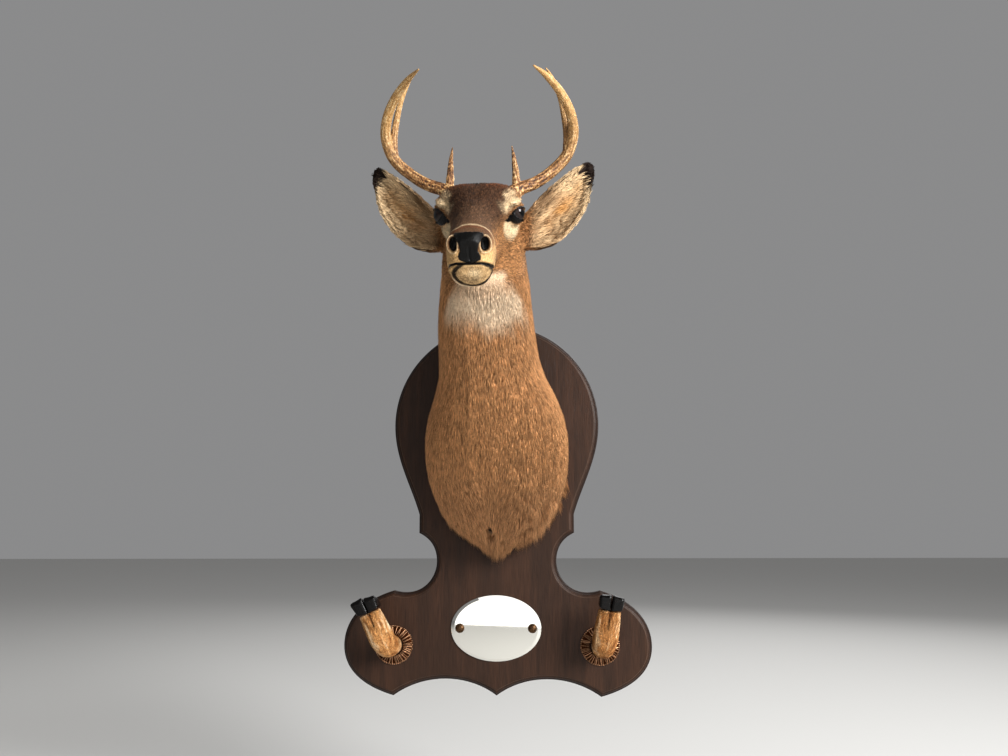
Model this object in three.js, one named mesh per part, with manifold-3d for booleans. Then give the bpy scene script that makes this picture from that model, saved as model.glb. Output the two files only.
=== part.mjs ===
// A white-tailed buck's shoulder mount on its wall board, with an oval mirror and two deer-foot hooks.
// Millimetres, +Z up. The wall is the plane Y = 0, the buck looks along -Y, and +X is its left side.
// The origin is on the back of the board, level with the middle of the mirror and of the hooks.
import * as THREE from "three";
import { mergeVertices } from "three/addons/utils/BufferGeometryUtils.js";
import Module from "manifold-3d";

const wasm = await Module();
wasm.setup();

// Driving dimensions. "Out" is the distance in front of the wall, which is -Y.
const GAP = 0.3; // clearance between pieces that touch
const BOARD = { thickness: 20, moulding: 9, roundRadius: 196, roundCentre: 383 };
const FACE = BOARD.thickness + GAP; // where everything on the board starts
const MIRROR = { width: 168, height: 121, thickness: 3.2, bevel: 1.2, screwSpacing: 135 };
const SCREW = { headRadius: 8.5, dome: 5, shankRadius: 2.2, shankLength: 15, holeRadius: 2.6 };
const HOOK = { x: 194, z: -31, stubRadius: 19.5, leanLeft: 9, leanRight: 23.5, hoofBase: 72 };
const COLLAR = { outerRadius: 36, innerRadius: 21.5, thickness: 9 };
const CLAW = { width: 20, length: 25, depth: 34, rounding: 4, splay: 2, split: 0.5 };
const DEWCLAW = { radius: 5.5, length: 15, spacing: 17, out: 60, height: 24, tip: 0.55 };
const HEAD = { noseOut: 503, noseZ: 546, x: -6, pitch: THREE.MathUtils.degToRad(35) };
const EYE = { radius: 16.5, along: 208, up: 1, side: 54 };
const CHEST_X = 6; // the middle of the chest on the board
const ANTLERS = { x: 0, spreadLeft: 0.94, spreadRight: 1.065 };

const BROW_RIDGE = { side: 53, along: 206, up: 21, radii: [15, 27, 9] };
const NOSTRIL = { side: 21, along: 13, up: 2, radii: [11, 13, 14] };

const RING = { body: 25, head: 22, antler: 8, leg: 13, ear: 6 }; // points round each loft

const COLOURS = {
  board: [0x3b2a22, 0.45, 0],
  mirror: [0xe4e8ea, 0.05, 1],
  bronze: [0x4a3526, 0.4, 1],
  coat: [0xa57b4f, 0.9, 0],
  face: [0x8a6a4c, 0.9, 0],
  leg: [0xc58f4f, 0.9, 0],
  hoof: [0x14110f, 0.2, 0],
  eye: [0x0c0808, 0.05, 0],
  antler: [0xc9a877, 0.55, 0],
};

const model = new THREE.Group();

function at(x, out, z) {
  return new THREE.Vector3(x, -out, z);
}

function add(name, geometry, colour) {
  const [color, roughness, metalness] = COLOURS[colour];
  const material = new THREE.MeshStandardMaterial({ color, roughness, metalness });
  const mesh = new THREE.Mesh(geometry, material);
  mesh.name = name;
  model.add(mesh);
}

// ---- solids: a closed geometry goes in, is cut or joined, and comes out as a plain geometry ----

function solid(geometry) {
  const bare = geometry.index ? geometry.clone() : geometry;
  bare.deleteAttribute("normal");
  bare.deleteAttribute("uv");
  const merged = mergeVertices(bare, 1e-4);
  const vertProperties = new Float32Array(merged.attributes.position.array);
  const triVerts = new Uint32Array(merged.index.array);
  return new wasm.Manifold(new wasm.Mesh({ numProp: 3, vertProperties, triVerts }));
}

function plain(manifold) {
  const mesh = manifold.getMesh();
  const geometry = new THREE.BufferGeometry();
  geometry.setAttribute("position", new THREE.BufferAttribute(mesh.vertProperties, 3));
  geometry.setIndex(new THREE.BufferAttribute(mesh.triVerts, 1));
  return geometry;
}

// A closed body through rings of points, with a flat fan over each end.
function loft(rings) {
  const count = rings[0].length;
  const points = rings.flat();
  const faces = [];
  for (let r = 0; r + 1 < rings.length; r++) {
    for (let i = 0; i < count; i++) {
      const a = r * count + i;
      const b = r * count + ((i + 1) % count);
      faces.push(a, b, a + count, b, b + count, a + count);
    }
  }
  capEnds(rings, points, faces);
  const geometry = new THREE.BufferGeometry().setFromPoints(points);
  geometry.setIndex(faces);
  return facingOut(geometry);
}

function capEnds(rings, points, faces) {
  const count = rings[0].length;
  [0, rings.length - 1].forEach((r, end) => {
    const middle = new THREE.Vector3();
    rings[r].forEach((p) => middle.addScaledVector(p, 1 / count));
    points.push(middle);
    for (let i = 0; i < count; i++) {
      const a = r * count + i;
      const b = r * count + ((i + 1) % count);
      faces.push(...(end ? [a, b, points.length - 1] : [b, a, points.length - 1]));
    }
  });
}

function facingOut(geometry) {
  const p = geometry.attributes.position;
  const index = geometry.index.array;
  const [a, b, c] = [0, 1, 2].map(() => new THREE.Vector3());
  let volume = 0;
  for (let i = 0; i < index.length; i += 3) {
    [a, b, c].forEach((v, k) => v.fromBufferAttribute(p, index[i + k]));
    volume += a.dot(b.cross(c));
  }
  if (volume < 0) geometry.setIndex(Array.from(index).reverse());
  return geometry;
}

// Rows of numbers, smoothly read at `count` even steps of their first number.
function stations(rows, count) {
  const size = rows[0].length;
  const reader = new THREE.CubicInterpolant(rows.map((row) => row[0]), rows.flat(), size);
  const [first, last] = [rows[0][0], rows[rows.length - 1][0]];
  return Array.from({ length: count }, (_, i) => {
    return Array.from(reader.evaluate(first + ((last - first) * i) / (count - 1)));
  });
}

function oval(angle, power) {
  const bend = (value) => Math.sign(value) * Math.abs(value) ** (2 / power);
  return [bend(Math.cos(angle)), bend(Math.sin(angle))];
}

// A tube of changing round section along a smooth path: points are [x, out, z, radius].
function taperedTube(points, steps, sides) {
  const path = new THREE.CatmullRomCurve3(points.map(([x, out, z]) => at(x, out, z)));
  const radii = stations(points.map((p, i) => [i / (points.length - 1), p[3]]), steps + 1);
  const frames = path.computeFrenetFrames(steps, false);
  return radii.map(([u, radius], i) => {
    const middle = path.getPoint(u);
    return Array.from({ length: sides }, (_, k) => {
      const angle = (k / sides) * 2 * Math.PI;
      const point = middle.clone();
      point.addScaledVector(frames.normals[i], radius * Math.cos(angle));
      return point.addScaledVector(frames.binormals[i], radius * Math.sin(angle));
    });
  });
}

function cylinder(radius, from, to, sides = 24) {
  const length = from.distanceTo(to);
  const geometry = new THREE.CylinderGeometry(radius, radius, length, sides);
  const turn = new THREE.Quaternion();
  turn.setFromUnitVectors(new THREE.Vector3(0, 1, 0), to.clone().sub(from).normalize());
  geometry.applyQuaternion(turn);
  const middle = from.clone().lerp(to, 0.5);
  return geometry.translate(middle.x, middle.y, middle.z);
}

// ---- the board ----

function boardOutline() {
  const { roundRadius, roundCentre } = BOARD;
  const right = new THREE.Path();
  right.absarc(0, roundCentre, roundRadius, Math.PI / 2, 0, true);
  right.bezierCurveTo(196, 318, 164, 268, 147, 211);
  right.lineTo(147, 176);
  right.bezierCurveTo(122, 164, 113, 145, 113, 121); // the waist
  right.bezierCurveTo(115, 84, 148, 54, 194, 68);
  right.bezierCurveTo(250, 52, 288, 18, 288, -34); // the lobe that carries a hook
  right.bezierCurveTo(287, -86, 240, -112, 193, -125);
  right.bezierCurveTo(135, -84, 55, -84, 0, -124);
  const half = right.getPoints(6).filter((p, i, all) => i === 0 || p.distanceTo(all[i - 1]) > 0.01);
  const mirrored = half.slice(1, -1).reverse().map((p) => new THREE.Vector2(-p.x, p.y));
  return new THREE.Shape([...half, ...mirrored]);
}

function board() {
  const { thickness, moulding } = BOARD;
  const slab = new THREE.ExtrudeGeometry(boardOutline(), {
    depth: 2 * (thickness - moulding),
    bevelThickness: moulding,
    bevelSize: moulding,
    bevelOffset: -moulding,
    bevelSegments: 2,
  });
  slab.translate(0, 0, moulding - thickness);
  slab.rotateX(Math.PI / 2);
  const front = new THREE.BoxGeometry(700, 100, 900).translate(0, -50, 200);
  let body = solid(slab).intersect(solid(front));
  for (const side of [-1, 1]) body = body.subtract(solid(screwHole(side, thickness)));
  return plain(body);
}

// ---- the mirror and its two screws ----

function screwHole(side, front) {
  const x = (side * MIRROR.screwSpacing) / 2;
  const bottom = FACE + MIRROR.thickness - SCREW.shankLength - 1;
  return cylinder(SCREW.holeRadius, at(x, bottom, 0), at(x, front + 2, 0), 12);
}

function mirror() {
  const { width, height, thickness, bevel } = MIRROR;
  const outline = new THREE.Shape();
  outline.absellipse(0, 0, width / 2, height / 2, 0, 2 * Math.PI);
  const plate = new THREE.ExtrudeGeometry(new THREE.Shape(outline.getPoints(36).slice(0, -1)), {
    depth: thickness - 2 * bevel,
    bevelThickness: bevel,
    bevelSize: bevel,
    bevelOffset: -bevel,
    bevelSegments: 1,
  });
  plate.translate(0, 0, bevel);
  plate.rotateX(Math.PI / 2).translate(0, -FACE, 0);
  let body = solid(plate);
  for (const side of [-1, 1]) body = body.subtract(solid(screwHole(side, FACE + thickness)));
  return plain(body);
}

function screw(side) {
  const { headRadius, dome, shankRadius, shankLength } = SCREW;
  const profile = [new THREE.Vector2(0, -shankLength), new THREE.Vector2(shankRadius, -shankLength)];
  profile.push(new THREE.Vector2(shankRadius, 0), new THREE.Vector2(headRadius, 0));
  for (let i = 1; i < 5; i++) {
    const angle = (i / 5) * (Math.PI / 2);
    profile.push(new THREE.Vector2(headRadius * Math.cos(angle), dome * Math.sin(angle)));
  }
  profile.push(new THREE.Vector2(0, dome));
  const body = new THREE.LatheGeometry(profile, 14).rotateX(Math.PI);
  body.translate((side * MIRROR.screwSpacing) / 2, -(FACE + MIRROR.thickness + GAP), 0);
  return plain(solid(body));
}

// ---- the deer-foot hooks: each is built upright at X = 0, then leaned and moved to its place ----

function placeHook(geometry, side) {
  const lean = side < 0 ? HOOK.leanRight : HOOK.leanLeft;
  geometry.rotateY(THREE.MathUtils.degToRad(side * lean));
  return geometry.translate(side * HOOK.x, 0, HOOK.z);
}

// Stations along the leg: step, out, height, half width, half depth.
function legRings() {
  const rows = stations(
    [
      [0, FACE, 0, HOOK.stubRadius, HOOK.stubRadius],
      [1, 38, 0, 19, 19],
      [2, 58, 3, 21.5, 20.5],
      [3, 73, 15, 23.5, 20.5],
      [4, 81, 35, 23, 18.5],
      [5, 84, 54, 22, 17],
      [6, 85, HOOK.hoofBase, 20.5, 16.5],
    ],
    12,
  );
  return rows.map((row, i) => {
    const [, out, height, halfWidth, halfDepth] = row;
    const [before, after] = [rows[Math.max(i - 1, 0)], rows[Math.min(i + 1, rows.length - 1)]];
    const along = i === 0 ? at(0, 1, 0) : at(0, after[1] - before[1], after[2] - before[2]).normalize();
    if (i === rows.length - 1) along.set(0, 0, 1);
    const across = new THREE.Vector3(1, 0, 0);
    const deep = across.clone().cross(along);
    return Array.from({ length: RING.leg }, (_, k) => {
      const [c, s] = oval((k / RING.leg) * 2 * Math.PI, 2.2);
      const point = at(0, out, height).addScaledVector(across, halfWidth * c);
      return point.addScaledVector(deep, halfDepth * s);
    });
  });
}

// One claw: the side outline runs from the heel round the toe, which points up.
function claw(side) {
  const { width, length, depth, rounding, splay, split } = CLAW;
  const outline = new THREE.Shape();
  outline.moveTo(-depth * 0.5, 0);
  outline.lineTo(depth * 0.5, 0);
  outline.lineTo(depth * 0.54, length * 0.75);
  outline.quadraticCurveTo(depth * 0.52, length, depth * 0.3, length * 0.98);
  outline.quadraticCurveTo(-depth * 0.25, length * 0.72, -depth * 0.5, length * 0.4);
  const body = new THREE.ExtrudeGeometry(outline, {
    depth: width - 2 * rounding,
    curveSegments: 4,
    bevelThickness: rounding,
    bevelSize: rounding,
    bevelOffset: -rounding,
    bevelSegments: 2,
  });
  body.translate(0, 0, rounding - width / 2);
  body.rotateX(Math.PI / 2).rotateZ(-Math.PI / 2);
  body.rotateY(THREE.MathUtils.degToRad(side * splay));
  return body.translate(side * (width / 2 + split), -85, HOOK.hoofBase + 1.5);
}

function dewclaw(side) {
  const { radius, length, spacing, out, height, tip } = DEWCLAW;
  const rings = [0, 0.35, 0.7, 1].map((t) => {
    const reach = radius * (1 - (1 - tip) * t ** 2);
    const middle = at((side * spacing) / 2, out - 0.75 * length * t, height + 0.65 * length * t);
    return Array.from({ length: 10 }, (_, k) => {
      const angle = (k / 10) * 2 * Math.PI;
      const turn = new THREE.Vector3(Math.cos(angle), 0.65 * Math.sin(angle), 0.75 * Math.sin(angle));
      return middle.clone().addScaledVector(turn, reach);
    });
  });
  return plain(solid(loft(rings)).subtract(solid(loft(grown(legRings(), GAP)))));
}

function collar(side) {
  const { outerRadius, innerRadius, thickness } = COLLAR;
  const profile = [
    [innerRadius, 0],
    [outerRadius, 0],
    [outerRadius, thickness * 0.3],
    [outerRadius * 0.85, thickness],
    [innerRadius, thickness * 0.9],
    [innerRadius, 0],
  ].map(([r, h]) => new THREE.Vector2(r, h));
  const ring = new THREE.LatheGeometry(profile, 24).rotateX(Math.PI);
  return plain(solid(ring.translate(side * HOOK.x, -FACE, HOOK.z)));
}

// ---- the body: trunk and neck are one loft of slanted sections ----

// Each section: step, back edge (out, z), front edge (out, z), half width, where it is widest
// from back to front, how square its back half is, and how far its middle stands to one side.
const BODY = [
  [0, FACE, 139, 40, 141, 9, 0.4, 3, CHEST_X],
  [1, FACE, 150, 66, 152, 27, 0.3, 4, CHEST_X],
  [2, FACE, 170, 100, 168, 58, 0.22, 5, CHEST_X],
  [3, FACE, 199, 142, 194, 93, 0.2, 6, CHEST_X],
  [4, FACE, 234, 183, 228, 115, 0.2, 6, CHEST_X],
  [5, FACE, 276, 220, 268, 128, 0.2, 6, CHEST_X],
  [6, FACE, 326, 248, 314, 132, 0.22, 6, CHEST_X],
  [7, FACE, 376, 266, 356, 127, 0.26, 6, CHEST_X],
  [8, FACE, 426, 277, 392, 111, 0.33, 5, CHEST_X],
  [9, FACE, 474, 284, 424, 94, 0.4, 4, 1],
  [10, FACE + 1, 520, 289, 452, 87.5, 0.46, 3, -4],
  [11, 42, 566, 294, 478, 85, 0.5, 2.4, -6],
  [12, 76, 612, 298, 502, 81, 0.5, 2.2, -7],
  [13, 114, 657, 303, 524, 77, 0.5, 2.2, -6],
  [14, 154, 697, 309, 546, 72, 0.5, 2.2, -6],
  [15, 194, 719, 316, 572, 66, 0.5, 2.2, -6],
  [16, 234, 729, 326, 608, 56, 0.5, 2.2, -6],
  [17, 262, 729, 334, 645, 40, 0.5, 2.2, -6],
];

function bodyRing([, backOut, backZ, frontOut, frontZ, halfWidth, wide, square, x]) {
  return Array.from({ length: RING.body }, (_, i) => {
    const angle = (i / RING.body) * 2 * Math.PI;
    const front = Math.cos(angle) >= 0;
    const [c, s] = oval(angle, front ? 2.15 : square);
    const along = wide + c * (front ? 1 - wide : wide);
    const out = Math.max(backOut + (frontOut - backOut) * along, FACE);
    return at(x + halfWidth * s, out, backZ + (frontZ - backZ) * along);
  });
}

// ---- the head, in its own frame: along = back from the nose tip, up = square to the face ----

function onHead(x, along, up) {
  const { noseOut, noseZ, pitch } = HEAD;
  const out = noseOut - along * Math.cos(pitch) + up * Math.sin(pitch);
  return at(HEAD.x + x, out, noseZ + along * Math.sin(pitch) + up * Math.cos(pitch));
}

// Each section: along, top, bottom, half width, height of the widest place (0 to 1), and the
// squareness of its upper and lower halves.
const SKULL = [
  [-3, 12, -37, 18, 0.5, 2.4, 2.4],
  [6, 19, -50, 28, 0.55, 2.6, 2.7],
  [18, 23, -57, 32, 0.6, 2.6, 2.8],
  [40, 26, -59, 32, 0.55, 2.4, 2.7],
  [70, 30, -60, 33, 0.5, 2.3, 2.5],
  [100, 34, -63, 36, 0.48, 2.3, 2.3],
  [130, 37, -68, 39, 0.52, 2.5, 2],
  [158, 40, -79, 43, 0.6, 2.6, 1.9],
  [176, 43, -87, 47, 0.68, 2.8, 1.8],
  [190, 45, -93, 53, 0.74, 3, 1.7],
  [203, 46, -98, 61, 0.77, 3.1, 1.7],
  [217, 46, -102, 65, 0.76, 3.1, 1.8],
  [238, 43, -104, 66, 0.7, 3, 1.9],
  [262, 37, -100, 63, 0.62, 2.7, 2],
  [286, 30, -86, 56, 0.55, 2.3, 2],
  [308, 14, -70, 45, 0.5, 2.2, 2],
  [324, -6, -50, 26, 0.5, 2.2, 2],
];

function skullRing([along, top, bottom, halfWidth, wide, upper, lower]) {
  const middle = bottom + (top - bottom) * wide;
  return Array.from({ length: RING.head }, (_, i) => {
    const angle = (i / RING.head) * 2 * Math.PI;
    const above = Math.cos(angle) >= 0;
    const [c, s] = oval(angle, above ? upper : lower);
    const up = middle + c * (above ? top - middle : middle - bottom);
    return onHead(halfWidth * s, along, up);
  });
}

// A rounded swelling on both sides of the head: radii are across, along and up.
function swellings({ side, along, up, radii }, extra = 0) {
  return [-1, 1].map((way) => {
    const ball = new THREE.SphereGeometry(1, 10, 7);
    ball.scale(radii[0] + extra, radii[1] + extra, radii[2] + extra);
    ball.rotateX(HEAD.pitch);
    const place = onHead(way * side, along, up);
    return solid(ball.translate(place.x, place.y, place.z));
  });
}

function grown(rings, by) {
  return rings.map((ring) => {
    const middle = new THREE.Vector3();
    ring.forEach((p) => middle.addScaledVector(p, 1 / ring.length));
    return ring.map((p) => p.clone().sub(middle).setLength(p.distanceTo(middle) + by).add(middle));
  });
}

// All the space on one side of a plane, as a very large box.
function sideOf(point, normal) {
  const box = new THREE.BoxGeometry(2000, 2000, 2000).translate(0, 0, 1000);
  const turn = new THREE.Quaternion();
  turn.setFromUnitVectors(new THREE.Vector3(0, 0, 1), normal.clone().normalize());
  box.applyQuaternion(turn);
  return solid(box.translate(point.x, point.y, point.z));
}

function flesh(by = 0) {
  const body = solid(loft(grown(stations(BODY, 22).map(bodyRing), by)));
  const skull = solid(loft(grown(SKULL.map(skullRing), by)));
  return [BROW_RIDGE, NOSTRIL].flatMap((lump) => swellings(lump, by))
    .reduce((whole, lump) => whole.add(lump), body.add(skull));
}

function bodyPieces() {
  const whole = flesh();
  const eyes = [-1, 1].map((side) => solid(eyeball(side, EYE.radius + GAP)));
  const nape = [at(0, 150, 735), at(0, 0.8, 0.6)];
  const collarLine = [at(0, 22, 520), at(0, 0.29, 0.957)];
  const cut = ([point, normal], way) => {
    const step = normal.clone().setLength((way * GAP) / 2);
    return sideOf(point.clone().add(step), normal.clone().multiplyScalar(way));
  };
  return {
    head: eyes.reduce((head, eye) => head.subtract(eye), whole.intersect(cut(nape, 1))),
    neck: whole.intersect(cut(nape, -1)).intersect(cut(collarLine, 1)),
    trunk: whole.intersect(cut(collarLine, -1)),
  };
}

function eyeball(side, radius) {
  const place = onHead(side * EYE.side, EYE.along, EYE.up);
  const ball = new THREE.SphereGeometry(radius, 14, 9).rotateZ(Math.PI / 2);
  return ball.translate(place.x, place.y, place.z);
}

// ---- ears: a cupped leaf. Sections: step, x, out, z, half width, cup depth, wall, curl (radians) ----

const EAR = [
  [0, 46, 236, 664, 20, 22, 18, 0.5],
  [1, 73, 247, 668, 31, 30, 15, 0.6],
  [2, 102, 262, 677, 39, 33, 8, 0.42],
  [3, 125, 270, 698, 37.5, 28, 6.5, 0.25],
  [4, 144, 272, 720, 33, 21, 6, 0.15],
  [5, 159, 270, 744, 24, 14, 6, 0.1],
  [6, 172, 268, 764, 15, 9, 5.5, 0.05],
  [7, 178, 267, 778, 5, 5, 3.5, 0],
];

function earGeometry(side) {
  const rows = stations(EAR, 13);
  const opening = new THREE.Vector3(0.28, -0.95, -0.12).normalize();
  return loft(rows.map((row, i) => {
    const [before, after] = [rows[Math.max(i - 1, 0)], rows[Math.min(i + 1, rows.length - 1)]];
    const along = at(after[1] - before[1], after[2] - before[2], after[3] - before[3]).normalize();
    const across = along.clone().cross(opening).normalize();
    const forward = across.clone().cross(along);
    const [, x, out, z, halfWidth, depth, wall, curl] = row;
    const ring = [];
    for (const [inset, forwards] of [[0, true], [wall, false]]) {
      for (let k = 0; k <= RING.ear; k++) {
        const t = (forwards ? k : RING.ear - k) / RING.ear;
        const angle = -curl + t * (Math.PI + 2 * curl);
        const width = Math.max(halfWidth - 0.8 * inset, 1.2);
        const reach = Math.max(depth - inset, 0.8);
        const point = at(x, out, z).addScaledVector(across, width * Math.cos(angle));
        ring.push(point.addScaledVector(forward, -reach * Math.sin(angle)));
      }
    }
    ring.forEach((p) => p.set(HEAD.x + side * p.x, p.y, p.z));
    return ring;
  }));
}

// ---- antlers: beam and points as [x from the middle, out, z, radius] ----

const BEAM = [
  [40, 297, 700, 11],
  [47, 290, 717, 13],
  [61, 285, 728, 10.5],
  [88, 279, 741, 9.8],
  [117, 276, 762, 9.6],
  [141, 280, 786, 9.6],
  [151, 293, 813, 9],
  [147, 311, 836, 8.2],
  [131, 336, 856, 7],
  [107, 368, 866, 5],
  [85, 400, 864, 1.4],
];
const BEAM_STEPS = 22;
const FORK_STEP = 10; // where the beam is parted, just above the foot of its upper point
const POINT = [
  [140, 282, 790, 6.5],
  [141, 285, 815, 6.2],
  [137, 288, 846, 5.4],
  [129, 294, 878, 4.3],
  [115, 304, 906, 2.9],
  [105, 310, 918, 1.1],
];
const BROW = [
  [53, 286, 724, 7],
  [53, 292, 744, 6],
  [51, 302, 764, 4.2],
  [47, 314, 786, 1.1],
];
const BURR = { radius: 12, tube: 4, step: 2 }; // the rough ring round the foot of the beam

function burr(rings, by = 0) {
  const [middle, next] = [rings[BURR.step], rings[BURR.step + 1]].map((points) => {
    return points.reduce((sum, p) => sum.addScaledVector(p, 1 / points.length), new THREE.Vector3());
  });
  const ring = new THREE.TorusGeometry(BURR.radius, BURR.tube + by, 6, 14);
  const turn = new THREE.Quaternion();
  turn.setFromUnitVectors(new THREE.Vector3(0, 0, 1), next.clone().sub(middle).normalize());
  return solid(ring.applyQuaternion(turn).translate(middle.x, middle.y, middle.z));
}

function antler(side, skin) {
  const spread = side < 0 ? ANTLERS.spreadRight : ANTLERS.spreadLeft;
  const rings = (points, steps, by = 0) => {
    const placed = points.map(([x, out, z, r]) => [ANTLERS.x + side * x * spread, out, z, r + by]);
    return taperedTube(placed, steps, RING.antler);
  };
  const beam = rings(BEAM, BEAM_STEPS);
  const upper = beam.slice(FORK_STEP);
  upper[0] = upper[0].map((p, i) => p.clone().lerp(upper[1][i], GAP / p.distanceTo(upper[1][i])));
  const clear = solid(loft(rings(BEAM, BEAM_STEPS, GAP)));
  return {
    base: solid(loft(beam.slice(0, FORK_STEP + 1))).add(burr(beam)).subtract(skin),
    beam: solid(loft(upper)),
    point: solid(loft(rings(POINT, 12))).subtract(clear),
    brow: solid(loft(rings(BROW, 7))).subtract(clear).subtract(burr(beam, GAP)).subtract(skin),
  };
}

// ---- the whole mount ----

const SIDES = [[-1, "right"], [1, "left"]]; // the buck's own right is at -X

add("board", board(), "board");
add("mirror", mirror(), "mirror");

for (const [name, piece] of Object.entries(bodyPieces())) {
  add(name, plain(piece), name === "head" ? "face" : "coat");
}

const skin = flesh(GAP);
for (const [side, name] of SIDES) {
  add(`mirror_screw_${name}`, screw(side), "bronze");
  add(`hook_collar_${name}`, collar(side), "bronze");
  add(`hook_leg_${name}`, placeHook(loft(legRings()), side), "leg");
  for (const [way, half] of [[-1, "a"], [1, "b"]]) {
    add(`hook_claw_${name}_${half}`, placeHook(claw(way), side), "hoof");
    add(`hook_dewclaw_${name}_${half}`, placeHook(dewclaw(way), side), "hoof");
  }
  add(`ear_${name}`, plain(solid(earGeometry(side)).subtract(skin)), "coat");
  add(`eye_${name}`, eyeball(side, EYE.radius), "eye");
  for (const [part, piece] of Object.entries(antler(side, skin))) {
    add(`antler_${name}_${part}`, plain(piece), "antler");
  }
}

export default model;
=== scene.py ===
# A white-tailed buck's shoulder mount on its dark wall board, with a mirror and two deer-foot hooks.
# Metres, +Z up. The wall is the plane Y = 0, the buck looks along -Y, and +X is its left side.
import contextlib
import itertools
import math

import bmesh
import bpy
import numpy as np
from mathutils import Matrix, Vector
from mathutils.bvhtree import BVHTree


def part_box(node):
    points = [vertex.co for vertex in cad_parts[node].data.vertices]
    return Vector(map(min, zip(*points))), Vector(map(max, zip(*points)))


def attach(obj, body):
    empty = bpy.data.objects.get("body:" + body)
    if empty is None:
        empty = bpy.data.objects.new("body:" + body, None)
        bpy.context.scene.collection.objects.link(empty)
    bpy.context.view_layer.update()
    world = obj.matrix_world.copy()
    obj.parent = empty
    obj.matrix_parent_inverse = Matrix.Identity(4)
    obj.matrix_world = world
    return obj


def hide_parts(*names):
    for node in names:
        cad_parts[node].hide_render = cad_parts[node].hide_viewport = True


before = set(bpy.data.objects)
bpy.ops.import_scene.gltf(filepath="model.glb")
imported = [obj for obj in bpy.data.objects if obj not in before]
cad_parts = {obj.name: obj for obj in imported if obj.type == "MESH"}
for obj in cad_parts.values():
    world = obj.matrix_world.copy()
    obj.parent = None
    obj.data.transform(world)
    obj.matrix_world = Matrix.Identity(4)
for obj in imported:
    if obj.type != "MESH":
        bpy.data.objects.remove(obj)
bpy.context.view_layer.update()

MM = 0.001
draw = np.random.default_rng(11)

# ---- driving sizes, in metres unless they say otherwise ----

HEAD_PITCH = math.radians(35)  # the face line, up from level
NOSE = np.array([-0.006, -0.503, 0.546])  # the tip of the nose, where the head's own frame starts
SIDES = {"right": -1, "left": 1}  # the buck's own right is at -X
FLESH = ["head", "neck", "trunk", "ear_left", "ear_right"]

CAMERA = {"place": (0.0880, -1.4509, 0.1806), "yaw": 0.0509, "pitch": 0.1078, "roll": 0.003}
LENS_MM = 27.0
RISE = 0.07  # vertical shift of the view

SKIN_VOXEL = 0.0022
PLAIN_SKIN_KEPT = 0.45  # share of the small faces that stay on the neck and trunk
EYE_RADIUS = 0.0165
LID = 0.0016  # how far the eyelids stand off the eyeball


# ---- numbers ----

def ease(value, start, end):
    """0 at start, 1 at end, and smooth between; start may be the larger."""
    t = np.clip((value - start) / (end - start), 0, 1)
    return t * t * (3 - 2 * t)


def lumps(points, size, seed=0):
    """Smooth noise from -1 to 1, in lumps about `size` across."""
    place = points / size + 19.7 * seed
    cell = np.floor(place)
    part = place - cell
    part = part * part * (3 - 2 * part)
    total = np.zeros(len(points))
    for corner in itertools.product((0, 1), repeat=3):
        scatter = np.sin((cell + corner) @ (127.1, 311.7, 74.7)) * 43758.5453
        weight = np.prod(np.where(np.array(corner) == 1, part, 1 - part), axis=1)
        total += weight * (2 * (scatter - np.floor(scatter)) - 1)
    return total


def colour(code):
    """Linear red, green and blue from a six-digit code."""
    parts = np.array([int(code[i:i + 2], 16) / 255 for i in (0, 2, 4)])
    return np.where(parts < 0.04045, parts / 12.92, ((parts + 0.055) / 1.055) ** 2.4)


def unit(vectors):
    return vectors / np.maximum(np.linalg.norm(vectors, axis=-1, keepdims=True), 1e-9)


# ---- the head's own frame, in millimetres ----
# across is towards +X, along is back from the nose tip, and up is square to the line of the face.

ACROSS = np.array([1.0, 0, 0])
ALONG = np.array([0, math.cos(HEAD_PITCH), math.sin(HEAD_PITCH)])
UP = np.array([0, -math.sin(HEAD_PITCH), math.cos(HEAD_PITCH)])
HEAD_AXES = np.stack([ACROSS, ALONG, UP])


def in_head(points):
    return ((points - NOSE) @ HEAD_AXES.T / MM).T


def from_head(across, along, up):
    return NOSE + np.stack([across, along, up], axis=-1) * MM @ HEAD_AXES


# ---- materials ----

class Value:
    """A socket's output. Arithmetic on it adds Math nodes."""

    def __init__(self, finish, socket):
        self.finish = finish
        self.socket = socket

    def maths(self, operation, *values):
        return self.finish.node("ShaderNodeMath", {"operation": operation}, dict(enumerate(values)))

    def __add__(self, other):
        return self.maths("ADD", self, other)

    def __sub__(self, other):
        return self.maths("SUBTRACT", self, other)

    def __rsub__(self, other):
        return self.maths("SUBTRACT", other, self)

    def __mul__(self, other):
        return self.maths("MULTIPLY", self, other)

    __radd__ = __add__
    __rmul__ = __mul__


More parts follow.
